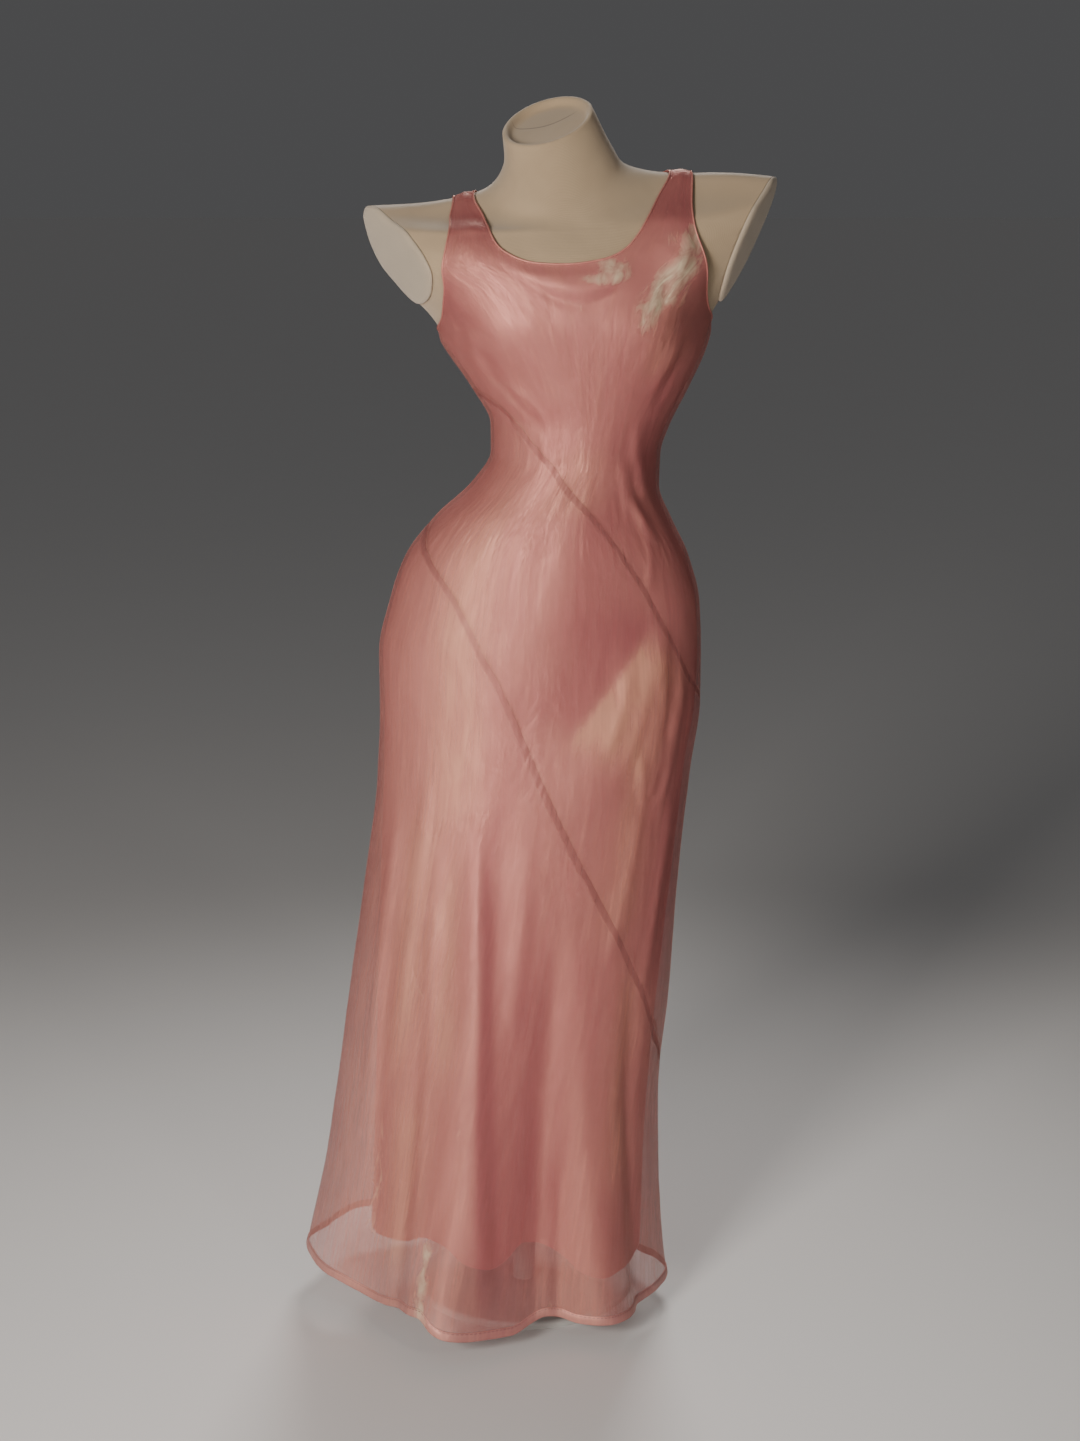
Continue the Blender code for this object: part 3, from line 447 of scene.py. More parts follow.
# Columns: how far out from the plate's underside, scale of the arm's outline.
PLATE_RING_ROWS = (
    (0.0000, 0.985), (0.0003, 0.998), (0.0010, 1.004), (0.0018, 1.003), (0.0026, 0.995), (0.0035, 0.975),
    (0.0044, 0.94), (0.0052, 0.88), (0.0058, 0.78), (0.0063, 0.62), (0.0066, 0.40), (0.0067, 0.15))

plate_look = jersey("plate_jersey", (0.47, 0.38, 0.28), (0.37, 0.30, 0.22))
for side, point, normal in ARM_PLANE_ROWS:
    outward = np.array(normal) / np.linalg.norm(normal)
    rings = np.stack([scaled(arm_outlines[side], scale, outward * (PLATE_GAP + rise))
                      for rise, scale in PLATE_RING_ROWS])
    plate = ring_piece(f"arm_plate_{side}_jersey", rings, plate_look)
    close_ends(plate)
    place_on_root(plate, "cream_jersey_plates", f"form_arm_plate_{side}")

# ---------------------------------------------------------------------------------------------------------
# The stand
# A powder-coated steel pole with a flanged collar under the torso and a flat round base that it screws into.
# ---------------------------------------------------------------------------------------------------------

POLE_RADIUS = 0.0125
COLLAR_RADIUS = 0.036
COLLAR_HUB_RADIUS = 0.019
COLLAR_HEIGHT = 0.040
BASE_RADIUS = 0.120
BASE_THICKNESS = 0.008
STAND_GAP = 0.0003       # between pieces of the stand that meet


def turned(name, profile, look, hollow):
    """A profile of (radius, height) points turned round the Z axis: each becomes a ring of 120 points. A hollow
    profile is a closed loop, and a solid one is closed at its first and last rings."""
    turn = np.linspace(0.0, 2 * math.pi, 120, endpoint=False)
    radius, height = np.array(profile, float).T
    points = np.stack([radius[:, None] * np.cos(turn), radius[:, None] * np.sin(turn),
                       np.repeat(height[:, None], len(turn), axis=1)], axis=-1)
    piece = ring_piece(name, points, look, turn_closed=hollow)
    close_ends(piece)
    piece.data.set_sharp_from_angle(angle=math.radians(35.0))
    return piece


def powder_coat():
    """White powder coat: a fine orange-peel skin, with a little dust in blotches."""
    look, tree = new_look("powder_coat")
    place = add_node(tree, "ShaderNodeTexCoord").outputs["Object"]
    dust = effect(tree, mottle, place, 14.0, Contrast=1.5, Light=(0.52, 0.51, 0.49, 1), Dark=(0.44, 0.43, 0.41, 1))
    peel = add_node(tree, "ShaderNodeTexNoise", [("Vector", place), ("Scale", 700.0), ("Detail", 1.0)])
    feed_shader(look, Base_Color=dust["Color"], Normal=relief(tree, 0.2, 0.0002, peel.outputs["Fac"]),
                Roughness=rescaled(tree, dust["Mask"], 0.0, 1.0, 0.55, 0.38))
    return look


coat = powder_coat()
collar_top = FORM_FOOT - STAND_GAP
collar_foot = collar_top - COLLAR_HEIGHT
bore = POLE_RADIUS + STAND_GAP
collar = turned("collar_flange", [
    (bore, collar_top), (COLLAR_RADIUS - 0.0008, collar_top), (COLLAR_RADIUS, collar_top - 0.0008),
    (COLLAR_RADIUS, collar_top - 0.0042), (COLLAR_RADIUS - 0.0008, collar_top - 0.005),
    (COLLAR_HUB_RADIUS + 0.003, collar_top - 0.0056), (COLLAR_HUB_RADIUS, collar_top - 0.0086),
    (COLLAR_HUB_RADIUS, collar_foot + 0.001), (COLLAR_HUB_RADIUS - 0.001, collar_foot), (bore, collar_foot)],
    coat, True)
place_on_root(collar, "white_stand_paint", "stand_collar")
base_top = BASE_THICKNESS
pole = turned("pole_tube", [
    (0.001, collar_top), (POLE_RADIUS - 0.0005, collar_top), (POLE_RADIUS, collar_top - 0.0005),
    (POLE_RADIUS, base_top + STAND_GAP + 0.0005), (POLE_RADIUS - 0.0005, base_top + STAND_GAP),
    (0.001, base_top + STAND_GAP)], coat, False)
place_on_root(pole, "white_stand_paint", "stand_pole")
base = turned("round_base", [
    (0.001, base_top), (BASE_RADIUS - 0.005, base_top), (BASE_RADIUS - 0.003, base_top - 0.0003),
    (BASE_RADIUS - 0.0012, base_top - 0.0014), (BASE_RADIUS - 0.0003, base_top - 0.003),
    (BASE_RADIUS, base_top - 0.005), (BASE_RADIUS, 0.0006), (BASE_RADIUS - 0.0006, 0.0), (0.001, 0.0)],
    coat, False)
place_on_root(base, "white_stand_paint", "stand_base")

# ---------------------------------------------------------------------------------------------------------
# The satin lining
# A bias-cut slip of light satin, a front and a back panel sewn at the sides and on the shoulders. It clings
# to the form as far as the hips, then hangs free and ends above the outer layer's hem, in a fine rolled hem.
# ---------------------------------------------------------------------------------------------------------

HIP_LEVEL = 0.735           # the cloth has the figure's own sections from here up
LINING_CLEARANCE = 0.0020   # from the form to the lining
CLOTH_WALL = 0.0004         # thickness of each layer as it shows
SEAM_GAP = 0.0003           # between a front and a back panel along their seams
UNROLL_RADIUS = 0.14        # the cloth lies flat as if it were unrolled from a tube of this radius

# Where the lining hangs below the hips. Columns: level, left, right, front, back, turn.
LINING_SKIRT_ROWS = (
    (0.045, -0.171, 0.128, 0.128, 0.158, -14.0),
    (0.165, -0.165, 0.130, 0.118, 0.149, -11.0),
    (0.285, -0.160, 0.136, 0.112, 0.140, -8.0),
    (0.405, -0.155, 0.147, 0.107, 0.133, -4.0),
    (0.525, -0.150, 0.160, 0.101, 0.127, -1.0),
    (0.625, -0.146, 0.171, 0.097, 0.122, 0.0),
    (0.685, -0.145, 0.180, 0.096, 0.120, 0.0),
)
# Its flutes. Columns: start_angle, hem_angle, reach at the hem, spread in degrees, start_level.
LINING_FLUTE_ROWS = (
    (-136.0, -126.0, -0.014, 15.0, 0.415),
    (-106.0, -92.0, 0.018, 12.0, 0.565),
    (-80.0, -63.0, -0.020, 12.0, 0.485),
    (-52.0, -38.0, 0.010, 12.0, 0.415),
    (-10.0, 0.0, -0.006, 13.0, 0.365),
    (30.0, 38.0, -0.008, 13.0, 0.385),
    (50.0, 60.0, 0.008, 13.0, 0.465),
    (94.0, 106.0, 0.008, 13.0, 0.465),
    (134.0, 142.0, -0.008, 13.0, 0.415),
)

# Each half has five zones of columns between its side seams: underarm, strap, neck, strap, underarm. They are
# even round the skirt, and above the bust they gather to the straps' edges.
ZONE_CELLS = np.array((4, 2, 4, 2, 4))
EVEN_BELOW, GATHERED_ABOVE = 0.98, 1.13
FRONT_ZONES = (-180.0, -116.0, -98.0, -78.5, -57.5, 0.0)
BACK_ZONES = (0.0, 57.5, 78.5, 98.0, 116.0, 180.0)

# Edges of the dress that run round it. Columns: angle, level.
FRONT_TOP_ROWS = (
    (-180.0, 1.072), (-158.5, 1.0805), (-136.0, 1.1045), (-121.5, 1.1275), (-116.0, 1.141), (-98.0, 1.161),
    (-95.0, 1.149), (-91.0, 1.144), (-88.0, 1.1435), (-85.5, 1.146), (-81.5, 1.150), (-78.5, 1.1605),
    (-57.5, 1.158), (-53.0, 1.1435), (-47.5, 1.1315), (-33.5, 1.108), (-23.5, 1.095), (0.0, 1.083))
BACK_TOP_ROWS = (
    (0.0, 1.083), (23.5, 1.095), (40.0, 1.118), (52.0, 1.143), (57.5, 1.158), (78.5, 1.168),
    (81.5, 1.157), (85.0, 1.151), (88.5, 1.149), (92.0, 1.151), (95.0, 1.156), (98.0, 1.166),
    (116.0, 1.141), (130.0, 1.114), (158.5, 1.0805), (180.0, 1.072))
LINING_HEM_ROWS = (
    (-163.0, 0.084), (-131.0, 0.093), (-113.5, 0.110), (-104.0, 0.108), (-94.0, 0.094), (-84.5, 0.089),
    (-79.5, 0.096), (-72.0, 0.114), (-64.0, 0.111), (-55.0, 0.100), (-45.5, 0.078), (-32.0, 0.066),
    (-8.0, 0.064), (40.0, 0.070), (95.0, 0.084), (145.0, 0.082))
# The straps' edges, from the bodice to the shoulder seam. The back of each strap mirrors its front.
# Columns: share of the strap's length, angle, level.
LEFT_STRAP_OUTER = (
    (0.00, -116.0, 1.1410), (0.11, -112.3, 1.1595), (0.22, -111.5, 1.1790), (0.35, -111.7, 1.1990),
    (0.42, -114.0, 1.2072), (0.53, -121.2, 1.2149), (0.64, -131.8, 1.2194), (0.77, -148.2, 1.2247),
    (0.88, -164.3, 1.2277), (1.00, -180.0, 1.2285))
LEFT_STRAP_INNER = (
    (0.00, -98.0, 1.1610), (0.11, -99.6, 1.1740), (0.21, -101.3, 1.1900), (0.30, -102.6, 1.2027),
    (0.37, -106.4, 1.2127), (0.48, -116.0, 1.2203), (0.60, -129.2, 1.2267), (0.70, -140.9, 1.2297),
    (0.80, -153.2, 1.2313), (1.00, -180.0, 1.2335))
RIGHT_STRAP_INNER = (
    (0.00, -78.5, 1.1605), (0.13, -77.9, 1.1787), (0.26, -77.2, 1.1985), (0.32, -76.8, 1.2103),
    (0.38, -73.5, 1.2159), (0.50, -63.0, 1.2230), (0.62, -50.6, 1.2275), (0.74, -36.5, 1.2301),
    (0.85, -20.8, 1.2313), (1.00, 0.0, 1.2320))
RIGHT_STRAP_OUTER = (
    (0.00, -57.5, 1.1580), (0.12, -61.8, 1.1764), (0.24, -64.4, 1.1936), (0.29, -64.6, 1.1994),
    (0.34, -64.3, 1.2081), (0.48, -57.5, 1.2163), (0.60, -47.7, 1.2205), (0.72, -35.2, 1.2241),
    (0.84, -19.7, 1.2266), (1.00, 0.0, 1.2278))
STRAP_ROWS, STRAP_LENGTH = 64, 0.10
STRAP_SETTLE = 0.18         # the straps take up the bodice's own columns over this share of their length
LINING_ROWS, LINING_FINENESS = 230, 6   # rows of the lining's grid, and columns to each cell of its zones
EDGE_FAIRING = 0.012        # the armholes and the neck are smooth over this length
EDGE_REACH = 0.030          # the cloth within this of them goes with them

# The cloth stands off the form at the front of the right armhole. Columns: angle, level, reach, spread_deg,
# spread_up.
ARMHOLE_LIFT = (-53.0, 1.135, 0.006, 11.0, 0.034)
# Soft creases of the lining, laid out as the outer layer's are: from one end to the other, the bow between
# them, how far it stands out, and its half-widths on its lower-angle or lower side and on the other.
LINING_CREASE_ROWS = (
    (-110.0, 0.560, -77.0, 0.040, 0.000, 0.0040, 0.018, 0.010),
    (-76.0, 0.480, -60.0, 0.040, 0.004, -0.0030, 0.014, 0.014),
    (-128.0, 0.520, -112.0, 0.040, -0.003, 0.0030, 0.012, 0.016),
    (-52.0, 0.500, -30.0, 0.020, 0.004, 0.0030, 0.014, 0.014),
    (-150.0, 0.480, -146.0, 0.040, 0.003, -0.0025, 0.014, 0.012),
    (40.0, 0.520, 56.0, 0.020, 0.004, 0.0030, 0.014, 0.012),
    (74.0, 0.460, 84.0, 0.020, -0.003, -0.0030, 0.014, 0.016),
    (112.0, 0.540, 124.0, 0.030, 0.003, 0.0035, 0.016, 0.012),
    (150.0, 0.470, 156.0, 0.030, -0.002, 0.0025, 0.014, 0.014),
)


def ease(share):
    """The smooth step 3t^2 - 2t^3, held at 0 and 1 outside its range."""
    share = np.clip(share, 0.0, 1.0)
    return share * share * (3.0 - 2.0 * share)


def cloth_rows(skirt_rows):
    """The figure's rows from the hips up on top of a layer's skirt rows, which have no shoulder and no lift."""
    plain = (0.0, 0.045, 0.0, 0.0, 0.0, 0.0)
    skirt = [row[:5] + plain + row[5:] for row in skirt_rows]
    return skirt + [row + (0.0,) for row in FIGURE_ROWS if row[0] >= HIP_LEVEL]


def open_edge(rows):
    """The smooth level of an edge that runs from one side seam to the other."""
    return smooth_curve(*np.array(rows).T)


def closed_edge(rows):
    """The smooth level of an edge that runs all round the figure."""
    around = np.concatenate([np.array(rows) + (turn, 0.0) for turn in (-360.0, 0.0, 360.0)])
    return smooth_curve(*around.T)


def flute_reach(flutes, angle, level):
    """How far the flutes push the cloth out: bell shapes across, which grow as the 1.6th power of the drop."""
    total = np.zeros(np.shape(angle))
    for start_angle, hem_angle, reach, spread, start_level in flutes:
        drop = np.clip((start_level - level) / start_level, 0.0, 1.0)
        middle = start_angle + (hem_angle - start_angle) * drop
        total = total + reach * drop**1.6 * np.exp(-(angle_gap(angle, middle) / spread) ** 2)
    return total


def crease_reach(creases, sections, angle, level):
    """How far the creases push the cloth out. Each follows a bowed line over the unrolled cloth, with a bell
    shape of its own width on either side, and fades over a quarter of its length at both ends."""
    total = np.zeros(np.shape(angle))
    for angle_a, level_a, angle_b, level_b, bow, reach, width_before, width_after in creases:
        middle = (level_a + level_b) / 2
        span = sections["right"](middle) - sections["left"](middle)
        radius = (span + sections["front"](middle) + sections["back"](middle)) / 4
        across = math.radians(angle_b - angle_a) * radius
        length = math.hypot(across, level_b - level_a)
        way = np.array((across, level_b - level_a)) / length
        around = np.radians(angle_gap(angle, (angle_a + angle_b) / 2) - (angle_a - angle_b) / 2) * radius
        rise = level - level_a
        along = (around * way[0] + rise * way[1]) / length
        aside = rise * way[0] - around * way[1] - bow * 4.0 * along * (1.0 - along)
        width = np.where(aside < 0.0, width_before, width_after)
        ends = ease(along / 0.25) * ease((1.0 - along) / 0.25)
        total = total + reach * ends * np.exp(-((aside / width) ** 2))
    return total


def crinkle_reach(angle, level, seed, count, slope):
    """Fine crinkles: a sum of seeded plane waves 7 to 40 mm long over the unrolled cloth, most of which run up and
    down it, each as high as its length times a slope. Each wanders by a third of its length, and broad waves 100
    to 240 mm long fade it in patches. All of them end below the straps."""
    chance = np.random.default_rng(seed)
    around, total = np.radians(angle) * UNROLL_RADIUS, np.zeros(np.shape(angle))
    for length in np.geomspace(0.007, 0.040, count):
        way = chance.normal(0.0, 0.22)
        phase, bend = chance.uniform(0.0, 2 * math.pi, 2)
        across = around * math.cos(way) + level * math.sin(way)
        along = level * math.cos(way) - around * math.sin(way)
        wander = 0.35 * length * np.sin(2 * math.pi * along / (length * 7.0) + bend)
        patch = 0.5 + 0.5 * np.sin(2 * math.pi * along / chance.uniform(0.10, 0.24) + across * 30.0 + bend)
        wave = 1.0 - 2.0 * np.abs(np.sin(math.pi * (across + wander) / length + phase)) ** 0.8
        total = total + wave * patch * slope * length / (2 * math.pi)
    return total / math.sqrt(count) * (1.0 - ease((level - 1.11) / 0.05))


def cloth_point(sections, angle, level, reach):
    """A point of a layer of cloth: off its section along the normal by its reach. The normal is the cross
    product of the steps along the section and up it."""
    turn, rise = 0.5, 0.0015
    along = section_point(sections, angle + turn, level) - section_point(sections, angle - turn, level)
    upward = section_point(sections, angle, level + rise) - section_point(sections, angle, level - rise)
    normal = np.cross(along, upward)
    normal /= np.maximum(np.linalg.norm(normal, axis=-1, keepdims=True), 1e-12)
    return section_point(sections, angle, level) + normal * reach[..., None]


def armhole_lift(angle, level):
    """A bell-shaped lift of both layers at the front of the right armhole."""
    middle, height, reach, spread_deg, spread_up = ARMHOLE_LIFT
    return reach * bell(angle, level, middle, height, spread_deg, spread_up)


def column_angles(zones, level, fineness):
    """The angle of each column at its level: even below the bust, gathered to the straps' edges above it."""
    cells = ZONE_CELLS * fineness
    gathered = np.concatenate([np.linspace(a, b, count, endpoint=False)
                               for a, b, count in zip(zones[:-1], zones[1:], cells)] + [zones[-1:]])
    even = np.linspace(zones[0], zones[-1], cells.sum() + 1)
    return even + (gathered - even) * ease((level - EVEN_BELOW) / (GATHERED_ABOVE - EVEN_BELOW))


def level_on_columns(zones, edge, fineness):
    """The level where each column meets an edge, found by going back and forth between the two."""
    level = edge(np.linspace(zones[0], zones[-1], (ZONE_CELLS * fineness).sum() + 1))
    for _ in range(60):
        level = 0.5 * level + 0.5 * edge(column_angles(zones, level, fineness))
    return level


def grid_faces(index):
    """Quads between neighbouring points of a grid of point numbers."""
    return np.stack([index[:-1, :-1], index[:-1, 1:], index[1:, 1:], index[1:, :-1]], -1).reshape(-1, 4)


def unrolled(angle, level):
    """Where points lie on the flat cloth, in metres round and up it."""
    return np.stack(np.broadcast_arrays(np.radians(angle) * UNROLL_RADIUS, level), axis=-1)


def strap_grid(first, second, base_angle, base_level):
    """The angles and levels of a strap's rows, from the one above the bodice to the shoulder. They run from the
    first of its edges to the second, and ease into the bodice's top points at its base."""
    shares = np.linspace(0.0, 1.0, STRAP_ROWS + 1)[:, None]
    across = np.linspace(0.0, 1.0, len(base_level))
    grids = []
    for column, base in ((1, base_angle), (2, base_level)):
        start, end = (smooth_curve(*np.array(edge).T[[0, column]])(shares) for edge in (first, second))
        grid = start * (1.0 - across) + end * across
        grids.append((grid + (1.0 - ease(shares / STRAP_SETTLE)) * (base - grid[:1]))[1:])
    return grids


def half_grid(zones, low_edge, high_edge, rows, fineness, with_straps):
    """A panel of one half between two edges, as arrays of angles, levels, flat places and faces. Also gives the
    point numbers on its side and shoulder seams, and the two runs of points along its armholes and the one along
    its neck, from shoulder to shoulder."""
    low, high = (level_on_columns(zones, edge, fineness) for edge in (low_edge, high_edge))
    level = low + (high - low) * np.linspace(0.0, 1.0, rows)[:, None]
    angle = np.stack([column_angles(zones, row, fineness) for row in level])
    index = np.arange(level.size).reshape(level.shape)
    cut = unrolled(angle, level)
    angles, levels, cuts, faces = [angle.ravel()], [level.ravel()], [cut.reshape(-1, 2)], [grid_faces(index)]
    seams, runs = [index[:, 0], index[:, -1]], {}
    if with_straps:
        starts = np.concatenate([[0], np.cumsum(ZONE_CELLS * fineness)])
        facing, straps = 1.0, ((1, LEFT_STRAP_OUTER, LEFT_STRAP_INNER), (3, RIGHT_STRAP_INNER, RIGHT_STRAP_OUTER))
        if zones[0] >= 0.0:
            facing, straps = -1.0, ((1, RIGHT_STRAP_OUTER, RIGHT_STRAP_INNER),
                                    (3, LEFT_STRAP_INNER, LEFT_STRAP_OUTER))
        rise = np.linspace(0.0, STRAP_LENGTH, STRAP_ROWS + 1)[1:, None, None] * (0.0, 1.0)
        sides = []
        count = level.size
        for zone, first, second in straps:
            base = slice(starts[zone], starts[zone + 1] + 1)
            turn, height = strap_grid(first, second, facing * angle[-1, base], level[-1, base])
            strap = np.arange(count, count + turn.size).reshape(turn.shape)
            count += turn.size
            angles.append(facing * turn.ravel())
            levels.append(height.ravel())
            cuts.append((cut[-1, base] + rise).reshape(-1, 2))
            faces.append(grid_faces(np.concatenate([index[-1:, base], strap])))
            seams.append(strap[-1])
            sides += [strap[::-1, 0], strap[:, -1]]
        top = index[-1]
        runs = {"first_armhole": np.concatenate([sides[0], top[starts[1]::-1]]),
                "neck": np.concatenate([sides[1][::-1], top[starts[2]:starts[3] + 1], sides[2][::-1]]),
                "second_armhole": np.concatenate([sides[3][::-1], top[starts[4]:]])}
    return [np.concatenate(parts) for parts in (angles, levels, cuts, faces, seams)] + [runs]


def nearest_spots(points, spots):
    """For each point p the number of its nearest spot s and the distance to it, from |p|^2 + |s|^2 - 2 p.s."""
    square = (points**2).sum(axis=1)[:, None] + (spots**2).sum(axis=1) - 2.0 * points @ spots.T
    return square.argmin(axis=1), np.sqrt(np.maximum(square.min(axis=1), 0.0))


def length_along(line):
    """The length of a line of points up to each of them."""
    return np.concatenate([[0.0], np.cumsum(np.linalg.norm(np.diff(line, axis=0), axis=1))])


def follow_edges(points, runs, spread, reach):
    """Fairs the panel's edges and takes the cloth near them along. Each edge point goes to the mean of its edge
    with bell-shaped weights over the length, the ends staying put, and every other point moves as its nearest
    edge point does, easing to nothing at the reach."""
    shifts = []
    for run in runs.values():
        line = points[run]
        length = length_along(line)
        share = length[:, None] / length[-1]
        off = line - (line[0] * (1.0 - share) + line[-1] * share)
        there = np.concatenate([-length[::-1], length, 2 * length[-1] - length[::-1]])
        mirrored = np.concatenate([-off[::-1], off, -off[::-1]])
        weights = np.exp(-((length[:, None] - there) / spread) ** 2) * np.gradient(there)
        shifts.append(weights @ mirrored / weights.sum(axis=1, keepdims=True) - off)
    spot, distance = nearest_spots(points, points[np.concatenate(list(runs.values()))])
    return points + np.concatenate(shifts)[spot] * (1.0 - ease(distance / reach))[:, None]


def add_wall(piece):
    """Gives a piece of cloth its thickness, outwards."""
    wall = piece.modifiers.new("wall", "SOLIDIFY")
    wall.thickness = CLOTH_WALL
    wall.offset = 1.0


def cloth_panel(name, zones, points, seams, faces, cut, look, marks=None):
    """A panel from its points, drawn back from its side and shoulder seams, with its wall. Its open edges are
    sharp, so two panels that meet are shaded as one cloth."""
    points = points.copy()
    points[seams, 1] += SEAM_GAP / 2 * (-1.0 if zones[0] < 0 else 1.0)
    piece = mesh_piece(name, points, faces, look, cut, marks)
    corner_edges = np.empty(len(piece.data.loops), np.int32)
    piece.data.loops.foreach_get("edge_index", corner_edges)
    piece.data.attributes.new("sharp_edge", "BOOLEAN", "EDGE").data.foreach_set(
        "value", np.bincount(corner_edges, minlength=len(piece.data.edges)) == 1)
    add_wall(piece)
    return piece


def turned_cut(tree, cut, degrees, stretch):
    """The flat place, turned and then scaled along the cloth: a pattern on it comes out 1 / stretch as long."""
    return add_node(tree, "ShaderNodeMapping", [
        ("Vector", cut), ("Rotation", (0.0, 0.0, math.radians(degrees))),
        ("Scale", (1.0, stretch, 1.0))]).outputs[0]


def flat_noise(tree, place, scale, detail, roughness=0.5, distortion=0.0):
    """Noise over the flat cloth."""
    return add_node(tree, "ShaderNodeTexNoise", [
        ("Vector", place), ("Scale", scale), ("Detail", detail), ("Roughness", roughness),
        ("Distortion", distortion)], noise_dimensions="2D").outputs["Fac"]


def satin():
    """Light satin: smooth and softly glossy along its warp, with shallow ripples and a very fine weave."""
    look, tree = new_look("lining_satin", Metallic=0.30, Specular_IOR_Level=0.4,
                          Specular_Tint=(1.0, 0.86, 0.78, 1.0))
    cut = add_node(tree, "ShaderNodeUVMap", uv_map="cut").outputs["UV"]
    tones = effect(tree, mottle, cut, 7.0, Contrast=1.4, Light=(0.65, 0.245, 0.24, 1),
                   Dark=(0.52, 0.185, 0.188, 1))
    ripples = flat_noise(tree, turned_cut(tree, cut, 0.0, 0.35), 42.0, 3.0)
    weave = effect(tree, threads, cut, 520.0)["Height"]
    height = worked_out(tree, "MULTIPLY_ADD", weave, 0.05, ripples)
    feed_shader(look, Base_Color=tones["Color"], Normal=relief(tree, 0.5, 0.0014, height),
                Roughness=rescaled(tree, tones["Mask"], 0.0, 1.0, 0.54, 0.46))
    return look


lining_sections = table_curves(FIGURE_COLUMNS + ("turn",), cloth_rows(LINING_SKIRT_ROWS))
front_top, back_top = open_edge(FRONT_TOP_ROWS), open_edge(BACK_TOP_ROWS)
lining_hem = closed_edge(LINING_HEM_ROWS)


def lining_point(angle, level):
    """A point of the lining's inner side."""
    reach = (LINING_CLEARANCE + flute_reach(LINING_FLUTE_ROWS, angle, level) + armhole_lift(angle, level)
             + crease_reach(LINING_CREASE_ROWS, lining_sections, angle, level)
             + crinkle_reach(angle, level, seed=3, count=14, slope=0.12))
    return cloth_point(lining_sections, angle, level, reach)


lining_look = satin()
# Columns: half, zones, its top edge, flat width and length, flat area.
for half, zones, top, flat, area in (
        ("front", FRONT_ZONES, front_top, (0.49, 1.22), 0.427),
        ("back", BACK_ZONES, back_top, (0.49, 1.24), 0.461)):
    angle, level, cut, faces, seams, runs = half_grid(
        zones, lining_hem, top, LINING_ROWS, LINING_FINENESS, with_straps=True)
    points = follow_edges(lining_point(angle, level), runs, EDGE_FAIRING, EDGE_REACH)
    panel = cloth_panel(f"lining_satin_{half}", zones, points, seams, faces, cut, lining_look)
    place_on_root(panel, "pink_satin", f"lining_{half}")

# ---------------------------------------------------------------------------------------------------------
# The outer layer
# Sheer shot organza, cut on the bias into a skirt, a waist and a bodice whose seams run aslant round the
# body. It floats a few millimetres off the satin and is sewn to it along the neck and the armholes.
# ---------------------------------------------------------------------------------------------------------

HEM_DEPTH = 0.010           # height of the turned hem
PAINTED_LIGHT_SIDE = (-0.42, -0.86, 0.30)    # painted light: gold is painted most where the cloth faces this way, towards the key light
# Rose is a thread colour and painted shade, gold a thread colour and painted light, champagne painted glints.
ROSE_AND_PAINTED_SHADE = (0.48, 0.135, 0.15)
GOLD_AND_PAINTED_LIGHT = (0.76, 0.37, 0.26)
PAINTED_GLINT_CHAMPAGNE = (0.70, 0.58, 0.40)
ALLOWANCE_SHADE = (0.34, 0.115, 0.115)
SLANT_GAP = 0.0002          # left, in height, along the slanted seams
ALLOWANCE = 0.0055          # width of the pressed seam allowances, which show through as a darker line
GROOVE_DEPTH = 0.00015      # the stitching of a slanted seam draws the cloth in by this
GROOVE_HALF_WIDTH = 0.0045
EDGE_HOLD = 0.014           # the layers part over this distance from the neck and the armholes

# Where the outer layer hangs below the hips. Columns: level, left, right, front, back, turn.
OUTER_SKIRT_ROWS = (
    (-0.015, -0.242, 0.149, 0.152, 0.196, -15.0),
    (0.065, -0.228, 0.142, 0.142, 0.184, -14.0),
    (0.145, -0.212, 0.139, 0.133, 0.172, -12.0),
    (0.245, -0.198, 0.140, 0.123, 0.158, -9.0),
    (0.365, -0.183, 0.152, 0.114, 0.144, -5.0),
    (0.485, -0.165, 0.160, 0.106, 0.134, -2.0),
    (0.605, -0.149, 0.172, 0.099, 0.125, 0.0),
    (0.685, -0.146, 0.182, 0.096, 0.121, 0.0),
)
# From the lining to the outer layer: loose over the body, closer along the straps. Columns: level, clearance.
LAYER_CLEARANCE_ROWS = ((0.0, 0.0035), (1.04, 0.0035), (1.15, 0.0019), (1.30, 0.0017))
# Its flutes. Columns: start_angle, hem_angle, reach at the hem, spread in degrees, start_level.
OUTER_FLUTE_ROWS = (
    (-172.0, -178.0, 0.014, 13.0, 0.415),
    (-136.0, -124.0, -0.026, 17.0, 0.465),
    (-106.0, -89.0, 0.034, 12.0, 0.605),
    (-74.0, -50.0, -0.026, 15.0, 0.525),
    (-52.0, -34.0, 0.016, 12.0, 0.445),
    (-24.0, -10.0, -0.006, 9.0, 0.365),
    (6.0, 14.0, 0.010, 11.0, 0.385),
    (28.0, 36.0, -0.014, 11.0, 0.445),
    (48.0, 58.0, 0.018, 12.0, 0.515),
    (72.0, 82.0, -0.014, 12.0, 0.415),
    (94.0, 106.0, 0.018, 12.0, 0.515),
    (118.0, 130.0, -0.016, 12.0, 0.465),
    (144.0, 154.0, 0.014, 11.0, 0.445),
)
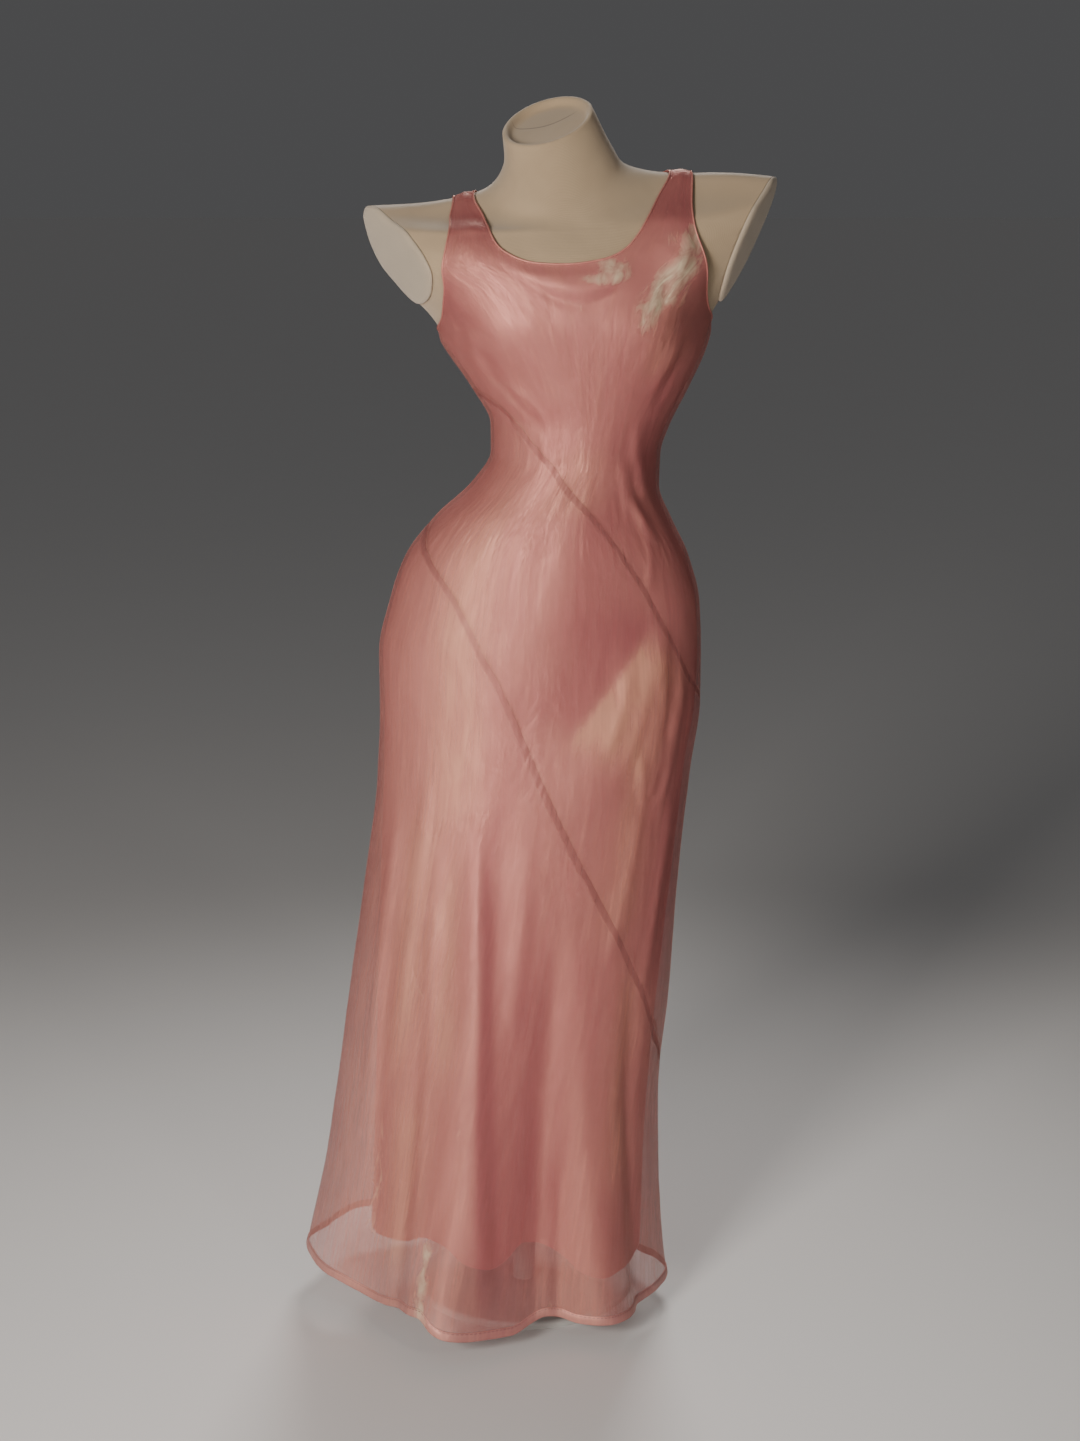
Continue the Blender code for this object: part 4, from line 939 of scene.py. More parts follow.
# Seams and hem all round. Columns: angle, level.
UPPER_SEAM_ROWS = (
    (-180.0, 1.014), (-160.0, 1.011), (-145.0, 1.000), (-133.0, 0.980), (-99.0, 0.930), (-67.0, 0.880),
    (-50.5, 0.822), (-39.5, 0.773), (-20.5, 0.712), (0.0, 0.690), (24.0, 0.712), (50.0, 0.790),
    (85.0, 0.885), (125.0, 0.965), (158.0, 1.005))
LOWER_SEAM_ROWS = (
    (-180.0, 0.868), (-153.0, 0.847), (-129.5, 0.812), (-108.0, 0.737), (-92.5, 0.645), (-77.0, 0.565),
    (-58.5, 0.488), (-33.0, 0.388), (-14.0, 0.322), (5.0, 0.290), (28.0, 0.320), (60.0, 0.430),
    (95.0, 0.590), (130.0, 0.750), (158.0, 0.850))
OUTER_HEM_ROWS = (
    (-180.0, 0.043), (-144.5, 0.042), (-121.5, 0.034), (-97.0, 0.043), (-91.5, 0.031), (-87.5, 0.026),
    (-78.5, 0.023), (-69.0, 0.023), (-61.5, 0.031), (-56.0, 0.036), (-51.0, 0.034), (-44.0, 0.027),
    (-25.0, 0.024), (-3.0, 0.027), (40.0, 0.026), (95.0, 0.030), (145.0, 0.038))

# Creases: a bowed line from one end to the other, how far it stands out (or sinks in), and its half-widths on
# its left or lower side and on its right or upper side, in metres. A crease that runs down ends on its right.
# Columns: angle_a, level_a, angle_b, level_b, bow, reach, width_before, width_after.
BODICE_CREASE_ROWS = (
    (-99.0, 1.144, -73.0, 1.137, -0.024, 0.0022, 0.011, 0.016),
    (-99.0, 1.131, -74.0, 1.122, -0.024, -0.0016, 0.007, 0.006),
    (-93.0, 1.128, -80.0, 1.126, -0.010, 0.0009, 0.006, 0.008),
    (-84.5, 1.122, -79.0, 1.152, 0.000, 0.0008, 0.005, 0.006),
    (-68.0, 1.190, -60.0, 1.118, 0.004, 0.0036, 0.010, 0.008),
    (-66.0, 1.160, -56.0, 1.108, -0.002, 0.0028, 0.005, 0.007),
    (-63.0, 1.140, -58.5, 1.086, 0.003, -0.0018, 0.006, 0.005),
    (-71.0, 1.176, -65.0, 1.120, 0.002, 0.0016, 0.006, 0.007),
    (-143.0, 1.030, -128.0, 1.080, 0.004, 0.0024, 0.005, 0.008),
    (-138.0, 1.020, -128.0, 1.056, 0.003, -0.0018, 0.006, 0.006),
    (-150.0, 1.058, -138.0, 1.082, 0.003, 0.0016, 0.005, 0.006),
    (-108.0, 1.190, -104.0, 1.120, 0.003, 0.0014, 0.009, 0.008),
    (-42.0, 1.070, -50.0, 1.010, -0.004, 0.0022, 0.008, 0.007),
    (-34.0, 1.060, -44.0, 0.995, -0.003, -0.0018, 0.008, 0.007),
    (40.0, 1.075, 56.0, 1.020, 0.004, 0.0024, 0.007, 0.008),
    (64.0, 1.100, 74.0, 1.030, 0.004, 0.0020, 0.009, 0.008),
    (84.0, 1.130, 97.0, 1.133, -0.012, 0.0026, 0.006, 0.010),
    (118.0, 1.100, 108.0, 1.036, -0.004, 0.0022, 0.008, 0.008),
    (140.0, 1.070, 126.0, 1.020, -0.003, 0.0022, 0.006, 0.008),
)
WAIST_CREASE_ROWS = (
    (-136.0, 1.012, -126.0, 0.982, 0.002, 0.0012, 0.0035, 0.004),
    (-130.0, 1.028, -120.0, 0.990, 0.002, 0.0011, 0.0035, 0.004),
    (-124.0, 1.022, -113.0, 0.978, 0.002, 0.0013, 0.0035, 0.004),
    (-140.0, 0.985, -127.0, 0.958, 0.002, 0.0010, 0.0035, 0.005),
    (-118.0, 0.975, -111.0, 0.940, 0.001, 0.0009, 0.0035, 0.004),
    (-92.0, 0.935, -101.0, 0.838, 0.003, 0.0018, 0.008, 0.007),
    (-101.0, 0.950, -109.0, 0.865, 0.002, -0.0014, 0.007, 0.008),
    (-54.0, 0.992, -28.0, 0.892, -0.006, 0.0030, 0.006, 0.009),
    (-60.0, 0.950, -34.0, 0.862, -0.004, 0.0024, 0.007, 0.008),
    (-48.0, 0.912, -34.0, 0.850, -0.003, 0.0020, 0.005, 0.007),
    (-41.0, 0.872, -48.0, 0.805, 0.002, 0.0016, 0.005, 0.005),
    (-34.0, 0.835, -86.0, 0.640, -0.004, -0.0034, 0.036, 0.028),
    (-36.0, 0.765, -74.0, 0.560, -0.008, 0.0048, 0.030, 0.034),
    (-80.0, 0.930, -96.0, 0.660, 0.006, 0.0034, 0.030, 0.030),
    (-46.0, 0.760, -62.0, 0.600, 0.004, 0.0014, 0.006, 0.009),
    (-56.0, 0.740, -66.0, 0.640, 0.002, 0.0010, 0.005, 0.007),
    (-42.0, 0.790, -48.0, 0.575, 0.005, 0.0032, 0.012, 0.009),
    (-30.0, 0.740, -37.0, 0.560, 0.004, 0.0026, 0.008, 0.007),
    (-112.0, 0.900, -96.0, 0.700, 0.006, 0.0014, 0.018, 0.016),
    (30.0, 0.985, 52.0, 0.890, 0.004, 0.0026, 0.007, 0.009),
    (60.0, 0.960, 78.0, 0.880, 0.003, 0.0022, 0.007, 0.008),
    (98.0, 0.975, 88.0, 0.880, -0.003, 0.0020, 0.008, 0.007),
    (134.0, 0.990, 112.0, 0.900, -0.004, 0.0026, 0.007, 0.008),
    (46.0, 0.810, 66.0, 0.700, 0.004, 0.0026, 0.010, 0.014),
    (96.0, 0.760, 86.0, 0.610, -0.003, 0.0022, 0.012, 0.010),
    (132.0, 0.820, 118.0, 0.690, -0.004, 0.0024, 0.012, 0.012),
)
SKIRT_CREASE_ROWS = (
    (-111.0, 0.605, -74.0, 0.000, 0.000, 0.0085, 0.022, 0.008),
    (-123.5, 0.570, -95.0, -0.080, -0.003, 0.0040, 0.012, 0.009),
    (-118.5, 0.440, -107.0, -0.060, 0.002, -0.0040, 0.010, 0.012),
    (-77.0, 0.510, -58.0, -0.080, 0.004, -0.0050, 0.018, 0.012),
    (-66.5, 0.470, -33.0, -0.080, 0.005, 0.0028, 0.013, 0.017),
    (-43.0, 0.440, -8.0, -0.080, 0.003, -0.0040, 0.012, 0.012),
    (-150.0, 0.620, -139.0, 0.180, 0.004, 0.0030, 0.010, 0.012),
    (-141.0, 0.500, -126.0, 0.060, -0.003, -0.0028, 0.010, 0.011),
    (-134.0, 0.640, -128.0, 0.300, 0.003, 0.0022, 0.009, 0.010),
    (-102.0, 0.620, -92.0, 0.400, 0.002, -0.0020, 0.010, 0.010),
    (-90.0, 0.560, -84.0, 0.310, 0.003, 0.0022, 0.010, 0.008),
    (-39.0, 0.665, -43.5, 0.585, 0.002, 0.0020, 0.005, 0.006),
    (-50.0, 0.645, -44.0, 0.575, -0.002, 0.0018, 0.005, 0.005),
    (-34.0, 0.700, -38.0, 0.610, 0.002, 0.0020, 0.006, 0.006),
    (-47.0, 0.600, -53.0, 0.400, 0.005, 0.0026, 0.010, 0.009),
    (-28.0, 0.600, -34.0, 0.360, 0.004, 0.0026, 0.009, 0.009),
    (-93.0, 0.260, -99.0, 0.060, 0.003, -0.0020, 0.008, 0.008),
    (-58.0, 0.220, -50.0, 0.000, 0.003, -0.0024, 0.009, 0.010),
    (18.0, 0.520, 26.0, -0.060, 0.004, 0.0034, 0.012, 0.010),
    (42.0, 0.560, 52.0, -0.060, 0.005, 0.0048, 0.014, 0.010),
    (66.0, 0.480, 76.0, -0.060, -0.003, -0.0040, 0.012, 0.014),
    (86.0, 0.560, 98.0, -0.060, 0.004, 0.0044, 0.012, 0.015),
    (106.0, 0.500, 116.0, -0.060, -0.004, -0.0038, 0.014, 0.011),
    (124.0, 0.580, 138.0, -0.060, 0.003, 0.0042, 0.013, 0.012),
    (154.0, 0.520, 166.0, -0.060, 0.003, 0.0030, 0.011, 0.012),
    (58.0, 0.700, 64.0, 0.520, 0.003, 0.0022, 0.009, 0.009),
    (110.0, 0.700, 104.0, 0.520, -0.003, 0.0022, 0.009, 0.009),
)

# Where thread colours, painted light, painted glints and painted shade come through, laid out as the creases are,
# with the
# amount in place of the reach: gold, partly painted light on lit parts, champagne, which is painted glints, and
# rose, partly painted shade.
GOLD_AND_PAINTED_LIGHT_ROWS = (
    (-44.0, 0.772, -82.0, 0.640, 0.000, 1.00, 0.006, 0.060),
    (-52.0, 0.700, -50.0, 0.420, 0.004, 0.55, 0.022, 0.018),
    (-124.0, 0.930, -122.0, 0.520, 0.004, 0.60, 0.026, 0.026),
    (-92.0, 0.965, -84.0, 0.880, 0.002, 0.35, 0.026, 0.026),
    (-134.0, 0.600, -126.0, 0.260, 0.004, 0.50, 0.020, 0.018),
    (-118.0, 0.560, -104.0, 0.260, 0.002, 0.45, 0.018, 0.010),
    (-118.0, 0.300, -112.0, 0.050, 0.002, 0.55, 0.020, 0.020),
    (-60.0, 1.120, -52.0, 1.020, 0.002, 0.40, 0.018, 0.018),
    (-42.0, 0.440, -34.0, 0.140, 0.003, 0.50, 0.020, 0.018),
    (44.0, 0.840, 66.0, 0.620, 0.004, 0.75, 0.012, 0.045),
    (112.0, 0.740, 108.0, 0.380, 0.003, 0.75, 0.030, 0.026),
    (78.0, 1.020, 92.0, 0.900, 0.002, 0.45, 0.034, 0.030),
    (38.0, 0.540, 42.0, 0.220, 0.003, 0.60, 0.024, 0.026),
    (138.0, 0.420, 142.0, 0.100, 0.002, 0.60, 0.024, 0.026),
    (82.0, 0.260, 88.0, 0.040, 0.002, 0.50, 0.026, 0.026),
)
PAINTED_GLINT_ROWS = (
    (-66.0, 1.205, -58.5, 1.080, 0.005, 1.00, 0.014, 0.018),
    (-61.0, 1.150, -63.0, 1.060, -0.002, 0.70, 0.012, 0.012),
    (-84.5, 1.152, -77.0, 1.116, 0.002, 0.95, 0.007, 0.010),
    (-88.0, 1.126, -79.0, 1.122, 0.001, 0.80, 0.005, 0.006),
    (-99.0, 0.150, -96.5, 0.000, 0.001, 0.72, 0.006, 0.007),
    (-131.0, 0.260, -127.0, 0.060, 0.002, 0.40, 0.016, 0.014),
    (112.0, 1.150, 120.0, 1.080, 0.003, 0.36, 0.012, 0.016),
    (68.0, 0.200, 72.0, 0.030, 0.002, 0.55, 0.007, 0.009),
    (42.0, 0.960, 47.0, 0.850, 0.002, 0.50, 0.009, 0.010),
)
ROSE_AND_PAINTED_SHADE_ROWS = (
    (-44.0, 0.792, -84.0, 0.652, 0.000, 1.00, 0.050, 0.006),
    (-62.0, 0.920, -84.0, 0.740, -0.004, 0.70, 0.020, 0.030),
    (-104.0, 0.760, -102.0, 0.520, 0.003, 0.75, 0.020, 0.022),
    (-110.0, 0.600, -105.0, 0.340, 0.003, 0.80, 0.012, 0.014),
    (-107.0, 0.620, -74.0, -0.040, 0.000, 1.00, 0.003, 0.050),
    (-132.0, 1.190, -124.0, 1.060, 0.003, 0.95, 0.036, 0.024),
    (-70.0, 0.480, -58.0, 0.080, 0.003, 0.70, 0.030, 0.026),
    (-114.0, 1.020, -102.0, 0.900, 0.002, 0.75, 0.022, 0.024),
    (-44.0, 1.060, -38.0, 0.900, 0.002, 0.70, 0.026, 0.028),
    (-100.0, 0.320, -96.0, 0.060, 0.002, 0.55, 0.016, 0.018),
    (-24.0, 0.780, -22.0, 0.340, 0.002, 0.70, 0.030, 0.034),
    (104.0, 0.880, 96.0, 0.640, 0.003, 0.80, 0.030, 0.030),
    (72.0, 0.700, 66.0, 0.340, 0.002, 0.75, 0.026, 0.028),
    (128.0, 1.000, 120.0, 0.840, 0.003, 0.65, 0.032, 0.030),
    (50.0, 1.160, 54.0, 1.000, 0.002, 0.70, 0.030, 0.030),
    (114.0, 0.460, 110.0, 0.140, 0.003, 0.75, 0.026, 0.026),
    (24.0, 0.840, 24.0, 0.440, 0.002, 0.60, 0.032, 0.032),
)

outer_sections = table_curves(FIGURE_COLUMNS + ("turn",), cloth_rows(OUTER_SKIRT_ROWS))
layer_clearance = smooth_curve(*np.array(LAYER_CLEARANCE_ROWS).T)
upper_seam, lower_seam = closed_edge(UPPER_SEAM_ROWS), closed_edge(LOWER_SEAM_ROWS)
outer_hem = closed_edge(OUTER_HEM_ROWS)
outer_creases = BODICE_CREASE_ROWS + WAIST_CREASE_ROWS + SKIRT_CREASE_ROWS


def seam_groove(angle, level):
    """The stitching draws the cloth in: a bell-shaped groove along each slanted seam, which the product of two
    waves makes up to a third deeper or shallower along its length."""
    total = np.zeros(np.shape(angle))
    for seam, phase in ((upper_seam, 0.0), (lower_seam, 2.0)):
        aside = (level - seam(angle)) / GROOVE_HALF_WIDTH
        pucker = 1.0 + 0.35 * np.sin(np.radians(angle) * 31.0 + phase) * np.sin(np.radians(angle) * 13.0)
        total = total - GROOVE_DEPTH * pucker * np.exp(-(aside**2))
    return total


def outer_reach(angle, level):
    """How far the outer layer's inner side stands off its sections."""
    return (LINING_CLEARANCE + CLOTH_WALL + layer_clearance(level) + flute_reach(OUTER_FLUTE_ROWS, angle, level)
            + armhole_lift(angle, level) + crease_reach(outer_creases, outer_sections, angle, level)
            + crinkle_reach(angle, level, seed=8, count=18, slope=0.09) + seam_groove(angle, level))


def outer_point(angle, level, shift=0.0):
    """A point of the outer layer's inner side."""
    return cloth_point(outer_sections, angle, level, outer_reach(angle, level) + shift)


def raised(edge, rise):
    """An edge that runs higher than another by the rise."""
    return lambda angle: edge(angle) + rise


def thread_and_painted_light_marks(angle, level, seam):
    """Four numbers for each point: how far gold (thread colour and painted light), champagne (painted glints) and
    rose (thread colour and painted shade) come through, and how far the point lies below the seam above it, square
    to the seam,
    1 being four allowances or more. Rose grows up the straps as painted shade."""
    marks = np.stack([crease_reach(rows, outer_sections, angle, level)
                      for rows in (GOLD_AND_PAINTED_LIGHT_ROWS, PAINTED_GLINT_ROWS, ROSE_AND_PAINTED_SHADE_ROWS, ())], axis=-1)
    # Painted shade: rose darkens the straps towards their tops.
    marks[..., 2] += 0.8 * ease((level - 1.150) / 0.060)
    marks[..., 3] = 1.0
    if seam is not None:
        slope = (seam(angle + 1.0) - seam(angle - 1.0)) / math.radians(2.0) / UNROLL_RADIUS
        marks[..., 3] = np.minimum(1.0, (seam(angle) - level) / np.sqrt(1.0 + slope**2) / ALLOWANCE / 4.0)
    return np.clip(marks, 0.0, 1.0)


# Crumples like those of creased paper: the ridges between the cells of two sizes of a distorted cell pattern.
crumples, crumples_in, crumples_out = shader_group(
    "crumples", [("Vector", "NodeSocketVector", None), ("Scale", "NodeSocketFloat", 40.0)],
    [("Height", "NodeSocketFloat")])
crumple_drift = add_node(crumples, "ShaderNodeTexNoise", [
    ("Vector", crumples_in.outputs["Vector"]), ("Scale", 25.0), ("Detail", 1.0)], noise_dimensions="2D")
crumple_shift = add_node(crumples, "ShaderNodeVectorMath", [
    (0, crumple_drift.outputs["Color"]), (1, (0.035, 0.035, 0.035)), (2, crumples_in.outputs["Vector"])],
    operation="MULTIPLY_ADD").outputs[0]
small_ridges, large_ridges = (add_node(crumples, "ShaderNodeTexVoronoi", [
    ("Vector", crumple_shift), ("Scale", worked_out(crumples, "MULTIPLY", crumples_in.outputs["Scale"], size))],
    feature="DISTANCE_TO_EDGE", voronoi_dimensions="2D").outputs["Distance"] for size in (2.3, 1.0))
crumples.links.new(worked_out(crumples, "MULTIPLY_ADD", small_ridges, 0.5, large_ridges),
                   crumples_out.inputs["Height"])


def organza(name, light, dark, opacity, relief_distance):
    """Sheer shot organza. Rose threads run one way and gold ones the other. The marks lay on rose, partly painted
    shade, gold, partly painted light, and champagne painted glints, and gold is also painted as light where the
    cloth faces the key light. It has sharp crumples in patches, drawn crinkles, a fine weave, and an opacity that
    varies a little with it. The pressed allowances below a seam make it darker and denser."""
    look, tree = new_look(name, Specular_IOR_Level=0.55, Specular_Tint=(0.95, 0.86, 0.62, 1.0))
    cut = add_node(tree, "ShaderNodeUVMap", uv_map="cut").outputs["UV"]
    marks = add_node(tree, "ShaderNodeAttribute", attribute_name="marks").outputs
    mark = add_node(tree, "ShaderNodeSeparateColor", [("Color", marks["Color"])]).outputs
    gold_and_painted_light_mark, painted_glint_mark, rose_and_painted_shade_mark, below_seam = mark["Red"], mark["Green"], mark["Blue"], marks["Alpha"]

    # Relief: crumples where broad patches or the champagne painted glints' marks say, on crinkles, fibres and the
    # weave.
    creased = turned_cut(tree, cut, 0.0, 0.40)
    crinkles = flat_noise(tree, turned_cut(tree, cut, 8.0, 0.22), 60.0, 3.0, 0.65, 0.5)
    fibres = flat_noise(tree, turned_cut(tree, cut, 4.0, 0.045), 230.0, 2.0, 0.6)
    weave = effect(tree, threads, turned_cut(tree, cut, 45.0, 1.0), 420.0)["Height"]
    in_patches = rescaled(tree, flat_noise(tree, cut, 11.0, 1.0), 0.42, 0.66, 0.10, 1.0)
    patched = worked_out(tree, "MULTIPLY", effect(tree, crumples, creased, 85.0)["Height"],
                         worked_out(tree, "ADD", painted_glint_mark, in_patches))
    drawn = worked_out(tree, "MULTIPLY_ADD", fibres, 0.15, crinkles)
    woven = worked_out(tree, "MULTIPLY_ADD", weave, 0.02, drawn)
    height = worked_out(tree, "MULTIPLY_ADD", patched, 1.9, woven)

    # Colour: blotches and fibres, then rose with painted shade, gold with painted light, champagne painted glints,
    # then the seam's allowances.
    tones = effect(tree, mottle, cut, 6.0, Contrast=1.8, Light=(*light, 1), Dark=(*dark, 1))["Color"]
    fibre_share = rescaled(tree, fibres, 0.32, 0.68, 0.0, 1.0)
    fibrous = blend_colours(tree, worked_out(tree, "MULTIPLY", fibre_share, 0.16), tones, GOLD_AND_PAINTED_LIGHT)
    # Rose from the marks is a thread colour and painted shade.
    with_rose_and_painted_shade = blend_colours(tree, worked_out(tree, "MULTIPLY", rose_and_painted_shade_mark, 0.75), fibrous, ROSE_AND_PAINTED_SHADE)
    # Painted light: more gold where the cloth faces the key light.
    facing = add_node(tree, "ShaderNodeVectorMath", [
        (0, add_node(tree, "ShaderNodeTexCoord").outputs["Normal"]), (1, PAINTED_LIGHT_SIDE)],
        operation="DOT_PRODUCT").outputs["Value"]
    # Gold from the marks is a thread colour and, on the lit parts, painted light.
    gold_and_painted_light_share = worked_out(tree, "MULTIPLY_ADD", gold_and_painted_light_mark, rescaled(tree, crinkles, 0.28, 0.72, 0.55, 1.0),
                      rescaled(tree, facing, 0.60, 1.0, 0.0, 0.35), clamp=True)
    with_gold_and_painted_light = blend_colours(tree, gold_and_painted_light_share, with_rose_and_painted_shade, GOLD_AND_PAINTED_LIGHT)
    # Painted glints: champagne in ragged patches where the marks say, with lower roughness and a denser cloth.
    uneven = worked_out(tree, "MULTIPLY_ADD", crinkles, 0.6, painted_glint_mark)
    broken = worked_out(tree, "MULTIPLY_ADD", flat_noise(tree, creased, 140.0, 3.0, 0.6, 0.6), 1.5, uneven)
    painted_glint = rescaled(tree, broken, 1.42, 2.35, 0.0, 1.0)
    with_painted_glint = blend_colours(tree, painted_glint, with_gold_and_painted_light, PAINTED_GLINT_CHAMPAGNE)
    ragged = worked_out(tree, "MULTIPLY_ADD", crinkles, 0.14, below_seam)
    seam = rescaled(tree, ragged, 0.30, 0.40, 1.0, 0.0)
    colour = blend_colours(tree, worked_out(tree, "MULTIPLY", seam, 0.62), with_painted_glint, ALLOWANCE_SHADE)

    # Fibres, gold with its painted light, the painted glints and the seam each make the cloth denser by their own
    # amount.
    dense = rescaled(tree, weave, 0.0, 1.0, opacity - 0.05, opacity + 0.05)
    for share, amount in ((fibre_share, 0.08), (gold_and_painted_light_share, 0.12), (painted_glint, 0.50), (seam, 0.20)):
        dense = worked_out(tree, "MULTIPLY_ADD", share, amount, dense, clamp=True)
    worn = rescaled(tree, crinkles, 0.35, 0.65, 0.60, 0.48)
    feed_shader(look, Base_Color=colour, Alpha=dense, Normal=relief(tree, 0.6, relief_distance, height),
                Metallic=rescaled(tree, painted_glint_mark, 0.0, 1.0, 0.36, 0.20),
                Roughness=worked_out(tree, "MULTIPLY_ADD", painted_glint, -0.20, worn))
    return look


sheer = organza("shot_organza", (0.66, 0.25, 0.23), (0.53, 0.185, 0.185), opacity=0.37, relief_distance=0.0012)
organza_panels, edge_runs = {}, {}
# Columns: half, zones, top edge, columns' fineness, rows of the skirt, of the waist and of the bodice.
for half, zones, top, fineness, rows in (
        ("front", FRONT_ZONES, front_top, 11, (220, 130, 96)), ("back", BACK_ZONES, back_top, 8, (160, 100, 80))):
    # Columns: part, its lower and upper edges, the seam above it.
    pieces = (
        ("skirt", raised(outer_hem, HEM_DEPTH + SLANT_GAP), raised(lower_seam, -SLANT_GAP / 2), lower_seam),
        ("waist", raised(lower_seam, SLANT_GAP / 2), raised(upper_seam, -SLANT_GAP / 2), upper_seam),
        ("bodice", raised(upper_seam, SLANT_GAP / 2), top, None))
    for (part, low, high, seam_above), row_count in zip(pieces, rows):
        with_straps = part == "bodice"
        angle, level, cut, faces, seams, runs = half_grid(zones, low, high, row_count, fineness, with_straps)
        points = outer_point(angle, level)
        if with_straps:
            under = lining_point(angle, level)
            spots = points[np.concatenate(list(runs.values()))]
            held = 1.0 - ease(nearest_spots(points, spots)[1] / EDGE_HOLD)[:, None]
            normal = (points - under) / np.linalg.norm(points - under, axis=1, keepdims=True)
            points = points * (1.0 - held) + (under + normal * (CLOTH_WALL + SEAM_GAP)) * held
            points = follow_edges(points, runs, EDGE_FAIRING, EDGE_REACH)
            edge_runs.update({(half, side): (points[run], normal[run]) for side, run in runs.items()})
        panel = cloth_panel(f"organza_{part}_{half}", zones, points, seams, faces, cut, sheer,
                            thread_and_painted_light_marks(angle, level, seam_above))
        place_on_root(panel, "shot_organza", f"outer_{part}_{half}")
        organza_panels[part, half] = panel

# ---------------------------------------------------------------------------------------------------------
# Rolled edges and seam allowances
# The two layers are turned out through the neck and armholes, which leaves a narrow roll of organza there.
# Inside, each slanted seam's allowances are pressed down together and show as a darker line.
# ---------------------------------------------------------------------------------------------------------

EDGE_ROLL = (0.0007, 0.0010)        # half-sizes of the rolled edges, off the cloth and along it
LEAST_STEP = 0.0004                 # points of a rolled edge that lie closer together than this are left out
ALLOWANCE_ABOVE = 0.0006            # the allowances reach this far above their seam
ALLOWANCE_INSIDE = 0.0010           # and lie this far inside the outer layer's inner side
NO_MARKS = (0.0, 0.0, 0.0, 1.0)     # no thread colour, painted light, painted glints or painted shade, and no seam near


def rolled_edge(name, line, outward, look):
    """A closed oval tube along a line of points: each ring goes round the line's own tangent, between the way
    out of the cloth and the way across it."""
    tangent = np.roll(line, -1, axis=0) - np.roll(line, 1, axis=0)
    across = np.cross(tangent, outward)
    across /= np.linalg.norm(across, axis=1, keepdims=True)
    turn = np.linspace(0.0, 2 * math.pi, 12, endpoint=False)[None, :, None]
    points = (line[:, None] + outward[:, None] * np.cos(turn) * EDGE_ROLL[0]
              + across[:, None] * np.sin(turn) * EDGE_ROLL[1])
    place = np.stack(np.broadcast_arrays(length_along(line)[:, None], turn[0, :, 0] * EDGE_ROLL[1]), axis=-1)
    return ring_piece(name, points, look, place, np.tile(NO_MARKS, (points[..., 0].size, 1)), turn_closed=True)


roll_look = organza("rolled_organza", (0.54, 0.20, 0.18), (0.44, 0.14, 0.14), opacity=0.95,
                    relief_distance=0.0005)
# Columns: name, its run of the front, its run of the back, the way that one is taken.
for name, front_run, back_run, way in (
        ("rolled_neck", "neck", "neck", 1), ("rolled_armhole_left", "first_armhole", "second_armhole", -1),
        ("rolled_armhole_right", "second_armhole", "first_armhole", -1)):
    line, outward = (np.concatenate([front, back[::way]]) for front, back in zip(
        edge_runs["front", front_run], edge_runs["back", back_run]))
    keep = np.linalg.norm(line - np.roll(line, 1, axis=0), axis=1) > LEAST_STEP
    roll = rolled_edge(name, (line + outward * CLOTH_WALL / 2)[keep], outward[keep], roll_look)
    place_on_root(roll, "shot_organza")

allowance_look = organza("seam_allowance", (0.40, 0.15, 0.14), (0.32, 0.11, 0.11), opacity=0.60,
                         relief_distance=0.0004)
ring_angle = np.linspace(-180.0, 180.0, 480, endpoint=False)
for name, seam in (("upper_seam_allowance", upper_seam), ("lower_seam_allowance", lower_seam)):
    levels = seam(ring_angle) + np.linspace(-ALLOWANCE, ALLOWANCE_ABOVE, 5)[:, None]
    points = outer_point(np.broadcast_to(ring_angle, levels.shape), levels, -ALLOWANCE_INSIDE)
    strip = ring_piece(name, points, allowance_look, unrolled(ring_angle, levels),
                       np.tile(NO_MARKS, (levels.size, 1)))
    add_wall(strip)
    place_on_root(strip, "shot_organza")

# ---------------------------------------------------------------------------------------------------------
# The turned hem
# The foot of the outer layer is turned up twice and stitched: a band two or three layers thick, so it looks
# pinker and less sheer than the cloth above it.
# ---------------------------------------------------------------------------------------------------------

# The fold's closed section. Columns: share of the height, distance outwards.
HEM_SECTION_ROWS = (
    (1.00, 0.0002), (0.90, 0.0000), (0.50, 0.0000), (0.12, 0.0000), (0.03, 0.0002), (0.00, 0.0007),
    (0.03, 0.0013), (0.12, 0.0016), (0.50, 0.0015), (0.84, 0.0014), (0.90, 0.0010), (0.96, 0.0009), (1.00, 0.0006))
STITCH_HEIGHT = 0.0084      # the line of stitches above the fold
STITCH_PITCH = 0.003        # from one stitch to the next
THREAD_HALF_WIDTH = 0.0004

hem_points = np.stack([
    outer_point(ring_angle, outer_hem(ring_angle) + HEM_DEPTH * share, out) for share, out in HEM_SECTION_ROWS])
hem_rise = HEM_DEPTH * np.array(HEM_SECTION_ROWS)[:, :1]
hem_look = organza("turned_organza", (0.62, 0.27, 0.25), (0.50, 0.20, 0.20), opacity=0.72,
                   relief_distance=0.0009)
# The stitching: dashes of thread where a wave round the hem is above a level, in a line.
hem_tree = hem_look.node_tree
hem_cut = add_node(hem_tree, "ShaderNodeSeparateXYZ", [
    ("Vector", add_node(hem_tree, "ShaderNodeUVMap", uv_map="cut").outputs["UV"])]).outputs
hem_wave = worked_out(hem_tree, "SINE", worked_out(hem_tree, "MULTIPLY", hem_cut["X"], 2 * math.pi / STITCH_PITCH))
hem_dashes = rescaled(hem_tree, hem_wave, -0.5, -0.2, 0.0, 1.0)
hem_line = worked_out(hem_tree, "COMPARE", hem_cut["Y"], STITCH_HEIGHT, THREAD_HALF_WIDTH)
mark_over(hem_look, worked_out(hem_tree, "MULTIPLY", hem_dashes, hem_line), (0.34, 0.13, 0.13))
hem_marks = thread_and_painted_light_marks(np.broadcast_to(ring_angle, hem_points.shape[:2]), outer_hem(ring_angle) + hem_rise, None)
hem = ring_piece("hem_fold_organza", hem_points, hem_look, unrolled(ring_angle, hem_rise), hem_marks,
                 turn_closed=True)
place_on_root(hem, "turned_organza", "hem_fold")

